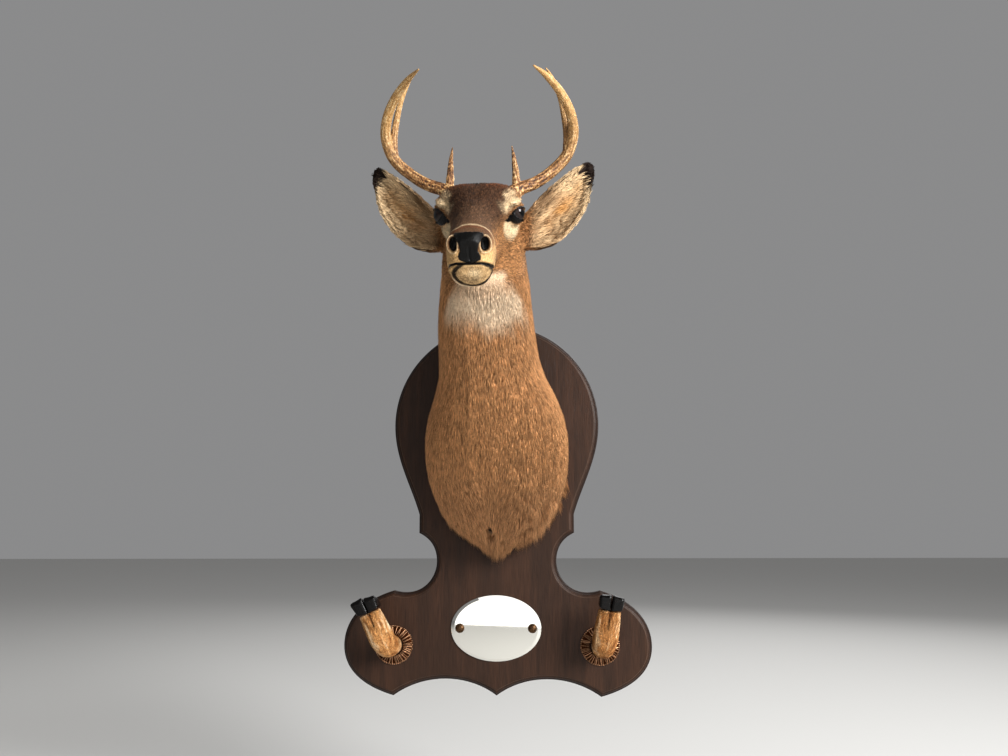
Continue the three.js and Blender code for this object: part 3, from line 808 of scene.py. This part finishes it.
def coat(mesh, shades, wet, finish):
    """The tufts of the head, ears, neck and trunk, in pieces."""
    points = points_of(mesh)
    normals = normals_of(mesh)
    length, width, spacing = hair_plan(points, normals)
    values = {"shade": shades, "wet": wet, "length": length, "width": width, "rise": coat_depth(points)}
    roots = scatter(mesh, values, spacing)
    roots["normal"] = unit(roots["normal"])
    covered = roots["place"][:, 1] < -0.0205
    roots = only(roots, (roots["wet"] < 0.35) & covered)
    count = len(roots["place"])
    roots["lie"] = lie(roots["place"], roots["normal"])
    roots["length"] = roots["length"] * (1 + draw.normal(0, 0.16, count))
    roots["rise"] = roots["rise"] * draw.uniform(0.35, 1.1, count)
    place = roots["place"]
    ear, neck, along = ear_share(place), neck_share(place), in_head(place)[1]
    pale = ease(roots["shade"].mean(axis=1), 0.35, 0.60)
    roots["grizzle"] = (0.45 - 0.10 * neck - 0.28 * ear) * (1 - 0.7 * pale)
    roots["contrast"] = (1 - 0.65 * ear) * (1 - 0.7 * pale)
    grain = lumps(place, 0.0021, 25) * (1 - neck) + 0.8 * lumps(place * (1, 1, 0.2), 0.0017, 26) * neck
    depth = (0.7 + 0.25 * ease(along, 60, 20) * (1 - neck)) * (1 - 0.75 * ear) * (1 - 0.55 * pale)
    roots["shade"] = roots["shade"] * (1 + depth * grain)[:, None]
    hang(roots)
    clear(roots)
    surface = surface_of(mesh)
    height, side = place[:, 2], place[:, 0] > NOSE[0]
    pieces = {}
    for name, way in SIDES.items():
        here = side == (way > 0)
        base, tip = from_head(60 * way, 270, 10), from_head(190 * way, 320, 110)
        pieces[f"coat_ear_{name}"] = (here & (ear > 0.5), wound(base, tip, -0.05, 0.22))
        head = here & (ear <= 0.5) & (neck <= 0.5)
        for part, back, ends in (("face", False, (-0.01, 0.15)), ("brow", True, (0.14, 0.36))):
            around_head = wound(from_head(0, 0, -25), from_head(0, 300, -25), *ends)
            pieces[f"coat_{part}_{name}"] = (head & ((along > 150) == back), around_head)
    body = (ear <= 0.5) & (neck > 0.5)
    levels = np.quantile(height[body], np.linspace(0, 1, 6))
    levels[-1] += 1
    for number, (low, high) in enumerate(zip(levels[:-1], levels[1:]), start=1):
        around_neck = wound((0, -0.12, 0), (0, -0.12, 1), low, min(high, 0.75))
        pieces[f"coat_body_{number}"] = (body & (height >= low) & (height < high), around_neck)
    for name, (keep, unwrap) in pieces.items():
        tufts(name, only(roots, keep), finish, surface, unwrap)


def hide_finish():
    hide = Finish("deer_hide", Specular_IOR_Level=0.15)
    wet = hide.stored("wet")
    hairs = hide.noise(900, 3, (1, 0.4, 0.4))
    shade = hide.stored("coat", "Color")
    streaks = hide.ramp(hairs, (0.35, (0.42, 0.40, 0.38)), (0.65, (1.15, 1.13, 1.1)))
    hide.set(Base_Color=hide.mix(1 - wet, shade, hide.mix(1.0, shade, streaks, "MULTIPLY")))
    hide.set(Roughness=hide.spread(wet, 0, 1, 0.85, 0.2))
    pebbles = hide.cells(620) * wet
    hide.bump(hairs * (1 - wet) + 0.8 * pebbles, 0.0007)
    return hide


def coat_finish():
    coat_hair = Finish("deer_hair", Roughness=0.62, Specular_IOR_Level=0.14)
    fine = coat_hair.noise(1600, 2)
    shade = coat_hair.stored("coat", "Color")
    dark = coat_hair.ramp(fine, (0.3, (0.72, 0.70, 0.68)), (0.7, (1.1, 1.1, 1.1)))
    coat_hair.set(Base_Color=coat_hair.mix(1.0, shade, dark, "MULTIPLY"))
    coat_hair.bump(fine, 0.0003)
    return coat_hair


def buck():
    mesh = bare_skin()
    points = points_of(mesh)
    normals = normals_of(mesh)
    shades, wet = markings(points, normals)
    put_points(mesh, carve(points, normals))
    store_colour(mesh, np.clip(shades, 0, 1))
    store_value(mesh, "wet", wet)
    finished("skin", mesh, hide_finish(), FLESH)
    coat(mesh, shades, wet, coat_finish())


# ---- eyes ----

def eyeball_finish():
    eye = Finish("deer_eye", Roughness=0.03, Specular_IOR_Level=0.3)
    pupil = eye.stored("pupil")
    fibres = eye.noise(900, 2)
    iris = eye.mix(fibres, "0c0604", "231009")
    black, white = "000000", "ffffff"
    rim = eye.ramp(pupil, (0, black), (0.30, black), (0.36, white), (0.66, white), (0.76, black))
    eye.set(Base_Color=eye.mix(rim, "050506", iris))
    return eye


def eyes():
    finish = eyeball_finish()
    for name, side in SIDES.items():
        gaze, front, top = eye_axes(side)
        mesh = bpy.data.meshes.new(f"eye_glass_{name}")
        with opened(mesh) as work:
            bmesh.ops.create_uvsphere(work, u_segments=64, v_segments=40, radius=1)
        ball = points_of(mesh)
        turn = np.degrees(np.arccos(np.clip(ball[:, 2], -1, 1)))
        radius = EYE_RADIUS + 0.0008 * ease(turn, 42, 20)
        ball = ball @ np.stack([front, top, gaze]) * radius[:, None] + EYES[name]
        put_points(mesh, ball)
        ray = unit(ball - EYES[name])
        pupil = np.hypot((ray @ front) / 1.05, (ray @ top) / 0.8)
        store_value(mesh, "pupil", np.where(ray @ gaze > 0, pupil, 1))
        finished(f"eye_glass_{name}", mesh, finish, [f"eye_{name}"])


# ---- antlers ----

# Each row: across from the middle, out, height and radius, in millimetres, for the left antler.
BEAM = [
    (40, 297, 700, 11), (47, 290, 717, 13), (61, 285, 728, 10.5), (88, 279, 741, 9.8), (117, 276, 762, 9.6),
    (141, 280, 786, 9.6), (151, 293, 813, 9), (147, 311, 836, 8.2), (131, 336, 856, 7), (107, 368, 866, 5),
    (85, 400, 864, 1.4),
]
UPPER_POINT = [
    (140, 282, 790, 6.5), (141, 285, 815, 6.2), (137, 288, 846, 5.4), (129, 294, 878, 4.3),
    (115, 304, 906, 2.9), (105, 310, 918, 1.1),
]
BROW_POINT = [(53, 286, 724, 7), (53, 292, 744, 6), (51, 302, 764, 4.2), (47, 314, 786, 1.1)]
SPREAD = {"right": 1.065, "left": 0.94}
AGE = [(0, 1), (0.35, 1), (0, 0.42)]  # from rough to smooth bone, at the root and tip of the three tines
BURR_PLACE, BURR_RADIUS, BURR_TUBE = 0.09, 12.2, 3.4
ANTLER_VOXEL = 0.0011


def curve(rows, count):
    """Points at even steps along a smooth curve through the rows (centripetal Catmull-Rom)."""
    rows = np.array(rows, float)
    rows = np.concatenate([[2 * rows[0] - rows[1]], rows, [2 * rows[-1] - rows[-2]]])
    result = []
    for t in np.linspace(0, len(rows) - 3, count):
        k = min(int(t), len(rows) - 4)
        a, b, c, d = rows[k:k + 4]
        gaps = [max(math.dist(p[:3], q[:3]), 1e-6) ** 0.5 for p, q in ((a, b), (b, c), (c, d))]
        start = ((b - a) / gaps[0] - (c - a) / (gaps[0] + gaps[1]) + (c - b) / gaps[1]) * gaps[1]
        end = ((c - b) / gaps[1] - (d - b) / (gaps[1] + gaps[2]) + (d - c) / gaps[2]) * gaps[1]
        s = t - k
        bend = s * s * (3 * (c - b) - 2 * start - end) + s ** 3 * (2 * (b - c) + start + end)
        result.append(b + s * start + bend)
    return np.array(result)


def frames_along(path):
    """Two directions square to a path at each of its points, without twist."""
    tangents = unit(np.gradient(path, axis=0))
    first = unit(np.cross(tangents[0], (0.2, 1, 0.1)))
    firsts = []
    for tangent in tangents:
        first = unit(first - (first @ tangent) * tangent)
        firsts.append(first)
    firsts = np.array(firsts)
    return firsts, np.cross(tangents, firsts)


def tube(path, radii, sides):
    """Points and faces of a closed round tube along a path."""
    first, second = frames_along(path)
    angles = np.linspace(0, 2 * math.pi, sides, endpoint=False)
    ring = first[:, None] * np.cos(angles)[:, None] + second[:, None] * np.sin(angles)[:, None]
    points = (path[:, None] + ring * np.broadcast_to(radii, len(path))[:, None, None]).reshape(-1, 3)
    return points, loft_faces(sides, len(points))


def antler_paths(side, spread):
    """The beam, upper point and brow point as rows of place and radius, in metres."""
    paths = []
    for rows, count in ((BEAM, 150), (UPPER_POINT, 70), (BROW_POINT, 40)):
        row = curve(rows, count)
        place = np.stack([side * spread * row[:, 0], -row[:, 1], row[:, 2]], axis=1)
        paths.append((place * MM, row[:, 3] * MM))
    return paths


def antler_finish():
    bone = Finish("antler_bone", Specular_IOR_Level=0.4)
    height, tip = bone.stored("ridge"), bone.stored("tip")
    stain = bone.noise(160, 4, (1, 1, 1), 0.4)
    specks = bone.noise(520, 3, (1, 1, 0.6))
    worn = bone.spread(0.6 * height + 0.8 * (stain - 0.5) + 0.9 * (specks - 0.5), 0.0, 0.65)
    lower = bone.ramp(worn, (0, "341c0c"), (0.4, "8a5b2e"), (0.9, "dab27b"))
    upper = bone.ramp(worn, (0, "a07643"), (0.4, "c1965c"), (1, "e3cb9d"))
    bone.set(Base_Color=bone.mix(tip, lower, upper))
    bone.set(Roughness=bone.spread(worn, 0, 1, 0.65, 0.3))
    bone.bump(bone.noise(1500, 3, (1, 1, 0.4)) + 2 * worn, 0.0004)
    return bone


def antlers():
    finish = antler_finish()
    for name, side in SIDES.items():
        paths = antler_paths(side, SPREAD[name])
        beam = paths[0][0]
        first, second = frames_along(beam)
        seat = int(BURR_PLACE * len(beam))
        angles = np.linspace(0, 2 * math.pi, 40, endpoint=False)[:, None]
        rim = BURR_RADIUS * MM * (1 + 0.05 * np.sin(7 * angles) + 0.04 * np.sin(11 * angles + 1))
        loop = beam[seat] + rim * (first[seat] * np.cos(angles) + second[seat] * np.sin(angles))
        knobs = BURR_TUBE * MM * (1 + 0.16 * np.sin(9 * angles[:, 0]) + 0.12 * np.sin(16 * angles[:, 0] + 2))
        burr = tube(np.concatenate([loop, loop[:2]]), np.append(knobs, knobs[:2]), 10)
        parts = [tube(path, radii, 20) for path, radii in paths]
        mesh = modified(joined([*parts, burr]), "REMESH", mode="VOXEL", voxel_size=ANTLER_VOXEL)
        points = points_of(mesh)
        points = smoothed(points, edges_of(mesh), 3)
        put_points(mesh, points)
        rows = [(path, radii, *frames_along(path)) for path, radii in paths]
        centres, radii, frame_first, frame_second = (np.concatenate(column) for column in zip(*rows))
        reach = np.concatenate([np.linspace(*ends, len(path)) for ends, (path, _) in zip(AGE, paths)])
        nearest = np.array([np.argmin(np.linalg.norm(centres - p, axis=1) - radii) for p in points])
        spoke = points - centres[nearest]
        angle = np.arctan2((spoke * frame_second[nearest]).sum(1), (spoke * frame_first[nearest]).sum(1))
        along = reach[nearest]
        waver = 1.3 * lumps(points, 0.03, 1) + 0.5 * lumps(points, 0.010, 2)
        groove = 0.5 + 0.25 * np.sin(6 * angle + 4 * waver) + 0.25 * np.sin(11 * angle - 5 * waver + 1)
        pearl = np.clip(lumps(points, 0.0036, 3), 0, 1) * ease(along, 0.42, 0.1)
        ridge = np.clip(groove * (0.65 + 0.35 * lumps(points, 0.012, 4)) + pearl, 0, 1)
        rough = ease(along, 0.8, 0.15)
        lift = (0.9 * (groove - 0.6) * rough + 1.1 * pearl - 0.1) * MM
        put_points(mesh, points + normals_of(mesh) * lift[:, None])
        store_value(mesh, "ridge", ridge)
        store_value(mesh, "tip", ease(along, 0.3, 0.85))
        nodes = [f"antler_{name}_{part}" for part in ("base", "beam", "point", "brow")]
        finished(f"antler_bone_{name}", mesh, finish, nodes)


# ---- the deer-foot hooks ----

HOOK = {"x": 0.194, "z": -0.031, "face": -0.0203}
LEAN = {"right": math.radians(23.5), "left": math.radians(9)}
LEG_HAIR = (7.5 * MM, 0.8 * MM, 1.5 * MM)  # length, width, spacing
LEG_HAIR_START, LEG_HAIR_END = 31, 73  # millimetres out from the wall and up to the claws


def hook_axes(name):
    """Across, out from the wall, and up the hook, which leans outwards."""
    side, lean = SIDES[name], LEAN[name]
    up = np.array([side * math.sin(lean), 0, math.cos(lean)])
    return np.stack([np.cross(np.array([0, 1, 0]), up), np.array([0, -1.0, 0]), up])


def on_hook(points, name):
    return ((points - (SIDES[name] * HOOK["x"], 0, HOOK["z"])) @ hook_axes(name).T / MM).T


def leg_markings(points, name):
    across, out, height = on_hook(points, name)
    shades, lay = layers(len(points), colour("c48f57"))
    wave = np.stack([across + 4 * lumps(points, 0.016, 31), 0.4 * out, 0.2 * height], axis=1) * MM
    streaks = lumps(wave, 0.0030, 3) + 0.6 * lumps(wave, 0.007, 33)
    lay(0.85 * ease(streaks, 0.0, 0.75), colour("7d481d"))
    lay(0.9 * ease(streaks, -0.1, -0.75), colour("fbd8ab"))
    lay(0.6 * ease(out, 45, 25), colour("7c4f28"))
    cleft = np.abs(across + 0.6 * lumps(points, 0.008, 6))
    lay(ease(cleft, 2.2, 0.9) * ease(height, 30, 44) * ease(out, 84, 92), colour("241307"))
    lay(0.6 * ease(cleft, 9, 2) * ease(height, 40, 66) * ease(out, 84, 92), colour("70431d"))
    lay(0.7 * ease(height, 67, 72), colour("5b3a1e"))
    if name == "left":
        shades *= (0.74, 0.68, 0.62)
    if name == "right":
        pale = ease(np.hypot((across - 20) / 6, (height - 36) / 11), 1, 0.5)
        lay(pale * ease(out, 90, 80), colour("f0dfba"))
    return shades


def horn_finish():
    horn = Finish("black_horn", Specular_IOR_Level=0.16)
    rings = horn.noise(260, 2, (0.15, 0.15, 2.2))
    scuffs = horn.noise(420, 4)
    horn.set(Base_Color=horn.ramp(scuffs, (0.5, "050404"), (0.85, "17110d")))
    horn.set(Roughness=horn.spread(scuffs, 0.3, 0.8, 0.08, 0.24))
    horn.bump(rings, 0.0006)
    return horn


def hooks():
    hide, hair, horn, bronze = hide_finish(), coat_finish(), horn_finish(), bronze_finish()
    for name in SIDES:
        mesh = cast([f"hook_leg_{name}"], 0.0019)
        points = points_of(mesh)
        points = smoothed(points, edges_of(mesh), 12)
        put_points(mesh, points)
        points = points - normals_of(mesh) * 1.3 * MM
        across, out, height = on_hook(points, name)
        cleft = ease(np.abs(across), 3.5, 0) * ease(height, 32, 52) * ease(out, 84, 92)
        put_points(mesh, points - normals_of(mesh) * (1.8 * MM * cleft)[:, None])
        shades = leg_markings(points, name)
        store_colour(mesh, shades)
        store_value(mesh, "wet", np.zeros(len(points)))
        finished(f"leg_skin_{name}", mesh, hide, [f"hook_leg_{name}"])
        leg_hair(mesh, shades, name, hair)
        for half in "ab":
            for part, voxel in (("claw", 0.0010), ("dewclaw", 0.0007)):
                node = f"hook_{part}_{name}_{half}"
                claw = cast([node], voxel)
                points = smoothed(points_of(claw), edges_of(claw), 3)
                put_points(claw, (pressed_together if part == "claw" else seated)(points, name))
                finished(f"{part}_horn_{name}_{half}", claw, horn, [node])
        collar(name, bronze)


def pressed_together(points, name):
    """One claw, moved against its neighbour. On the right hook the outer one flares and is taller."""
    across, _, height = on_hook(points, name)
    side = np.sign(across.mean())
    reach = side * across
    share = (reach - reach.min()) / np.ptp(reach)
    outer = name == "right" and side == SIDES[name]
    flare = (4.5 if outer else 0.8) * share ** 2 * np.clip((height - 76) / 20, 0, 1)
    wanted = 0.25 + share * (reach.max() - 0.25) + flare
    lift = (0.12 if outer else 0) * np.maximum(height - 76, 0)
    lift = lift + 3.5 * (1 - share) ** 4 * ease(height, 86, 95)
    lift = lift + (1.2 * share ** 2 - 3 * (1 - share) ** 2) * ease(height, 82, 73)
    across_way, _, up_way = hook_axes(name)
    return points + (side * (wanted - reach) * MM)[:, None] * across_way + (lift * MM)[:, None] * up_way


def seated(points, name):
    """One dewclaw, made stouter and pushed a little into the hair of the bend."""
    _, outward, upward = hook_axes(name)
    way = unit(0.65 * upward - 0.75 * outward)
    middle = points.mean(axis=0)
    reach = ((points - middle) @ way)[:, None]
    girth = points - middle - reach * way
    return middle + 1.4 * girth + (0.75 * reach - 3.2 * MM) * way


def leg_hair(mesh, shades, name, finish):
    length, width, spacing = LEG_HAIR
    roots = scatter(mesh, {"shade": shades}, np.full(len(shades), spacing))
    _, out, height = on_hook(roots["place"], name)
    roots = only(roots, (out > LEG_HAIR_START) & (height < LEG_HAIR_END))
    _, out, height = on_hook(roots["place"], name)
    normal = roots["normal"] = unit(roots["normal"])
    _, outward, upward = hook_axes(name)
    turn = ease(out - 0.4 * height, 45, 70)[:, None]
    way = outward * (1 - turn) + upward * turn
    way = way + 0.12 * draw.normal(0, 1, way.shape)
    count = len(height)
    roots["lie"] = unit(way - (way * normal).sum(1, keepdims=True) * normal)
    roots["length"] = np.minimum(length * (1 + draw.normal(0, 0.2, count)), np.maximum(79 - height, 3) * MM)
    roots["width"] = np.full(count, width)
    roots["rise"] = (0.3 + draw.uniform(0.2, 0.9, count) + 0.5 * lumps(roots["place"], 0.006, 41)) * MM
    roots["grizzle"] = np.full(count, 0.36)
    roots["contrast"] = np.ones(count)
    roots["free"] = np.zeros(count)
    foot = np.array([SIDES[name] * HOOK["x"], -0.06, HOOK["z"]])
    unwrap = wound(foot, foot + upward, -0.03, 0.07)
    tufts(f"coat_leg_{name}", roots, finish, surface_of(mesh), unwrap)


RIBS, BEADS = 54, 58
COLLAR_SHIFT = 0.0025  # towards the middle of the board
# The plate under the ribs: radius and height, in millimetres.
COLLAR_PLATE = [(18.6, 0), (35.2, 0), (35.2, 0.8), (33, 1.6), (27, 3.0), (18.6, 4.6)]


def bead(place, axes, sizes):
    """A small egg with its three half sizes along three directions."""
    work = bmesh.new()
    bmesh.ops.create_icosphere(work, subdivisions=1, radius=1)
    points = np.array([v.co for v in work.verts])
    faces = [tuple(v.index for v in f.verts) for f in work.faces]
    work.free()
    return place + (points * sizes) @ axes, faces


def collar(name, finish):
    """A rosette of wire ribs, rising from a beaded rim to the leg."""
    centre = np.array([SIDES[name] * (HOOK["x"] - COLLAR_SHIFT), HOOK["face"], HOOK["z"]])
    outward = np.array([0, -1.0, 0])

    def spoke_at(angle):
        return np.array([math.cos(angle), 0, math.sin(angle)])

    turns, size = 72, len(COLLAR_PLATE)
    points = [centre + (spoke_at(2 * math.pi * k / turns) * r + outward * h) * MM
              for k in range(turns) for r, h in COLLAR_PLATE]
    faces = [(k * size + i, k * size + (i + 1) % size, (k + 1) % turns * size + (i + 1) % size,
              (k + 1) % turns * size + i) for k in range(turns) for i in range(size)]
    parts = [(np.array(points), faces)]
    worn = [np.zeros(len(points))]
    steps = np.linspace(0, 1, 9)
    for k in range(RIBS):
        angle = 2 * math.pi * (k + 0.35 * draw.random()) / RIBS + draw.normal(0, 0.07) * steps
        spokes = np.stack([np.cos(angle), np.zeros(9), np.sin(angle)], axis=1)
        heights = 2.3 + 4.6 * (1 - steps ** 1.5) + 0.5 * np.sin(5 * steps)
        path = centre + (spokes * (18.9 + 16.2 * steps)[:, None] + outward * heights[:, None]) * MM
        rib = tube(path, (0.5 + 0.35 * steps) * draw.uniform(0.75, 1.2) * MM, 6)
        parts.append(rib)
        worn.append(np.full(len(rib[0]), draw.uniform(0.2, 0.9)))
    for k in range(BEADS):
        spoke = spoke_at(2 * math.pi * k / BEADS)
        slant = unit(np.cross(outward, spoke) + 0.55 * outward)
        axes = np.stack([slant, spoke, np.cross(slant, spoke)])
        rim = bead(centre + (spoke * 35.0 + outward * 1.9) * MM, axes, np.array([1.7, 1.3, 1.2]) * MM)
        parts.append(rim)
        worn.append(np.full(len(rim[0]), draw.uniform(0.2, 1.0)))
    mesh = joined(parts)
    store_value(mesh, "worn", np.concatenate(worn))
    with opened(mesh) as work:
        bmesh.ops.recalc_face_normals(work, faces=work.faces)
    finished(f"wire_collar_{name}", mesh, finish, [f"hook_collar_{name}"])


def bronze_finish():
    bronze = Finish("dark_bronze", Metallic=1.0)
    tarnish = bronze.noise(420, 4)
    high = bronze.stored("worn") * bronze.spread(tarnish, 0.3, 0.6, 0.35, 1.0)
    base = bronze.ramp(tarnish, (0.3, "1c0d07"), (0.7, "45230f"))
    bronze.set(Base_Color=bronze.mix(high, base, "e0aa80"))
    bronze.set(Roughness=bronze.spread(high, 0, 1, 0.55, 0.28))
    bronze.bump(tarnish, 0.0002)
    return bronze


# ---- the board ----

EDGE_PROFILE = [  # inset and depth from the wall, in millimetres, from the back to the face
    (0.6, 0), (0, 0.6), (0, 9.6), (0.5, 10.6), (1.5, 11.1), (2.2, 11.2), (2.6, 12.2), (3.4, 14.2),
    (4.6, 15.9), (6.0, 17.1), (7.4, 17.7), (8.0, 17.9), (8.3, 18.9), (8.9, 19.6), (9.8, 20.0),
]


def bezier(a, b, c, d, count=26):
    t = np.linspace(0, 1, count)[:, None]
    a, b, c, d = (np.array(p, float) for p in (a, b, c, d))
    return (1 - t) ** 3 * a + 3 * (1 - t) ** 2 * t * b + 3 * (1 - t) * t * t * c + t ** 3 * d


def board_outline():
    """The board's outline in millimetres, clockwise from the top, with cusps where its curves meet."""
    angles = np.linspace(math.pi / 2, 0, 60)
    crown = np.stack([196 * np.cos(angles), 383 + 196 * np.sin(angles)], axis=1)
    runs = [
        crown,
        bezier((196, 383), (196, 318), (164, 268), (147, 211)),
        bezier((147, 211), (147, 199), (147, 188), (147, 176), 8),
        bezier((147, 176), (122, 164), (113, 145), (113, 121)),
        bezier((113, 121), (115, 84), (148, 54), (194, 68), 34),
        bezier((194, 68), (250, 52), (288, 18), (288, -34), 40),
        bezier((288, -34), (287, -86), (240, -112), (193, -125), 40),
        bezier((193, -125), (135, -84), (55, -84), (0, -124), 40),
    ]
    half = np.concatenate([run[:-1] for run in runs])
    other = half[1:][::-1] * (-1, 1)
    return np.concatenate([half, [(0, -124)], other])


def inset(outline, distance):
    """The outline moved inwards. Points that would cross at an inner cusp gather there instead."""
    ahead, behind = np.roll(outline, -1, axis=0), np.roll(outline, 1, axis=0)
    tangent = unit(unit(ahead - outline) + unit(outline - behind))
    inward = np.stack([tangent[:, 1], -tangent[:, 0]], axis=1)
    bend = np.clip((unit(ahead - outline) * tangent).sum(1), 0.5, 1)
    moved = outline + inward * (distance / bend)[:, None]
    start, step = outline, ahead - outline
    along = ((moved[:, None] - start) * step).sum(2) / (step * step).sum(1)
    foot = start + np.clip(along, 0, 1)[:, :, None] * step
    kept = np.linalg.norm(moved[:, None] - foot, axis=2).min(1) > distance * 0.97 - 0.01
    good = np.flatnonzero(kept)
    count = len(outline)
    steps = np.abs((np.arange(count)[:, None] - good + count / 2) % count - count / 2)
    return moved[good[np.argmin(steps, axis=1)]]


def walnut_finish():
    wood = Finish("dark_walnut", Coat_Weight=0.04, Coat_Roughness=0.3, Specular_IOR_Level=0.12)
    bands = wood.noise(14, 3, (4.2, 1.5, 0.32), 0.5)
    fibres = wood.noise(150, 4, (5.0, 3.0, 0.16))
    pores = wood.noise(420, 2, (4.0, 2.0, 0.09))
    dark = wood.ramp(fibres, (0.32, "24160f"), (0.68, "312016"))
    warm = wood.ramp(fibres, (0.32, "2b1a11"), (0.68, "3c271b"))
    figured = wood.mix(wood.spread(bands, 0.42, 0.62), dark, warm)
    open_pores = wood.spread(pores, 0.60, 0.72)
    grained = wood.mix(0.6 * open_pores, figured, "170f0c")
    # Painted shade: the sides of the board, where the stored edge value is high, are darkened.
    side_shaded = wood.mix(0.6 * wood.stored("edge"), grained, "120a07")
    # A painted highlight lightens the line along the step of the moulding.
    wood.set(Base_Color=wood.mix(0.2 * wood.stored("rubbed"), side_shaded, "806a58"))
    wood.set(Roughness=wood.spread(fibres, 0.3, 0.7, 0.40, 0.55))
    wood.bump(fibres - 0.7 * open_pores, 0.0003)
    return wood


def board():
    outline = board_outline()
    count = len(outline)
    rings = [(inset(outline, max(step, 0.01)), depth) for step, depth in EDGE_PROFILE]
    points = [(x * MM, -depth * MM, z * MM) for ring, depth in rings for x, z in ring]
    mesh = bpy.data.meshes.new("walnut_board")
    mesh.from_pydata(points, [], [face[::-1] for face in loft_faces(count, len(points))])
    with opened(mesh) as work:
        bmesh.ops.remove_doubles(work, verts=work.verts, dist=2e-5)
        bmesh.ops.dissolve_degenerate(work, edges=work.edges, dist=1e-6)
        bmesh.ops.triangulate(work, faces=[face for face in work.faces if len(face.verts) > 4])
        bmesh.ops.recalc_face_normals(work, faces=work.faces)
    depth = -points_of(mesh)[:, 1] / MM
    # The sides of the board, back from the step of the moulding, carry painted shade.
    store_value(mesh, "edge", ease(depth, 18.2, 14))
    # A painted highlight along the step of the moulding.
    store_value(mesh, "rubbed", np.exp(-((depth - 19.1) / 0.5) ** 2))
    finished("walnut_board", mesh, walnut_finish(), ["board"], smooth=False)


# ---- the mirror and its screws ----

MIRROR_HALF = (0.084, 0.0605)
MIRROR_BACK, MIRROR_FRONT = 0.0203, 0.0235
BEVEL = 0.0062
SCREW_X = 0.0675


def turned(profile, segments, centre, stretch=(1, 1)):
    """A body turned about the way out from the wall: profile rows are radius and distance out."""
    angles = np.linspace(0, 2 * math.pi, segments, endpoint=False)
    points = [centre + np.array([r * stretch[0] * math.cos(a), -h, r * stretch[1] * math.sin(a)])
              for r, h in profile for a in angles]
    mesh = mesh_of("turned", points, loft_faces(segments, len(points)))
    with opened(mesh) as work:
        bmesh.ops.recalc_face_normals(work, faces=work.faces)
    return mesh


def mirror():
    silver = Finish("silvered_glass", Base_Color="eceae2", Metallic=1.0, Coat_Weight=0.5)
    silver.set(Roughness=silver.spread(silver.noise(60, 3), 0.3, 0.8, 0.012, 0.035))
    wide = MIRROR_HALF[0]
    profile = [
        (wide - 0.0004, MIRROR_BACK), (wide, MIRROR_BACK + 0.0004), (wide, MIRROR_FRONT - 0.0012),
        (wide - 0.0004, MIRROR_FRONT - 0.0009), (wide - BEVEL, MIRROR_FRONT), (wide / 2, MIRROR_FRONT),
    ]
    mesh = turned(profile, 256, np.zeros(3), (1, MIRROR_HALF[1] / wide))
    finished("oval_mirror", mesh, silver, ["mirror"])
    mesh.set_sharp_from_angle(angle=math.radians(7))
    bronze = Finish("screw_bronze", Metallic=1.0)
    tarnish = bronze.noise(500, 4)
    bronze.set(Base_Color=bronze.ramp(tarnish, (0.3, "2a1d14"), (0.75, "6d5138")))
    bronze.set(Roughness=bronze.spread(tarnish, 0.3, 0.7, 0.3, 0.5))
    bronze.bump(tarnish, 0.0002)
    cap = [(8.4, 0.0), (8.6, 0.5), (8.3, 1.1), (7.4, 1.4), (7.1, 1.2), (6.9, 1.5)]
    cap += [(6.9 * math.cos(t), 1.5 + 3.3 * math.sin(t)) for t in np.linspace(0.12, 1.5, 9)]
    for name, side in SIDES.items():
        centre = np.array([side * SCREW_X, -MIRROR_FRONT - 0.0003, 0])
        mesh = turned([(r * MM, h * MM) for r, h in cap], 48, centre)
        finished(f"screw_cap_{name}", mesh, bronze, [f"mirror_screw_{name}"])


# ---- the studio ----

def studio():
    floor = Finish("pale_floor", Base_Color="cfcecb", Roughness=0.9)
    bpy.ops.mesh.primitive_plane_add(size=30, location=(0, 0, -0.42))
    plane = bpy.context.object
    plane.name = "floor"
    plane.data.materials.append(floor.material)
    bpy.context.scene.view_settings.view_transform = "Standard"
    world = bpy.data.worlds.new("studio")
    world.use_nodes = True
    world.node_tree.nodes["Background"].inputs["Color"].default_value = (0.95, 0.95, 0.96, 1)
    world.node_tree.nodes["Background"].inputs["Strength"].default_value = 0.27
    bpy.context.scene.world = world
    lamps = {
        "key": ((3.2, -2.6, 1.9), 2.1, 238),
        "front": ((0.7, -3.3, 0.1), 3.2, 27),
        "back": ((1.6, 3.4, 3.0), 3.0, 60),
    }
    for name, (place, size, power) in lamps.items():
        light = bpy.data.lights.new(name, "AREA")
        light.size = size
        light.energy = power
        light.spread = math.radians(140)
        lamp = bpy.data.objects.new(name, light)
        lamp.location = place
        lamp.rotation_euler = (Vector((0, -0.15, 0.35)) - Vector(place)).to_track_quat("-Z", "Y").to_euler()
        bpy.context.scene.collection.objects.link(lamp)


def camera():
    data = bpy.data.cameras.new("camera")
    data.lens = LENS_MM
    data.sensor_width = 36
    data.shift_y = RISE
    data.clip_start = 0.01
    eye = bpy.data.objects.new("camera", data)
    eye.location = CAMERA["place"]
    eye.rotation_euler = (math.pi / 2 + CAMERA["pitch"], CAMERA["roll"], CAMERA["yaw"])
    bpy.context.scene.collection.objects.link(eye)
    bpy.context.scene.camera = eye


camera()
studio()
buck()
eyes()
antlers()
hooks()
board()
mirror()
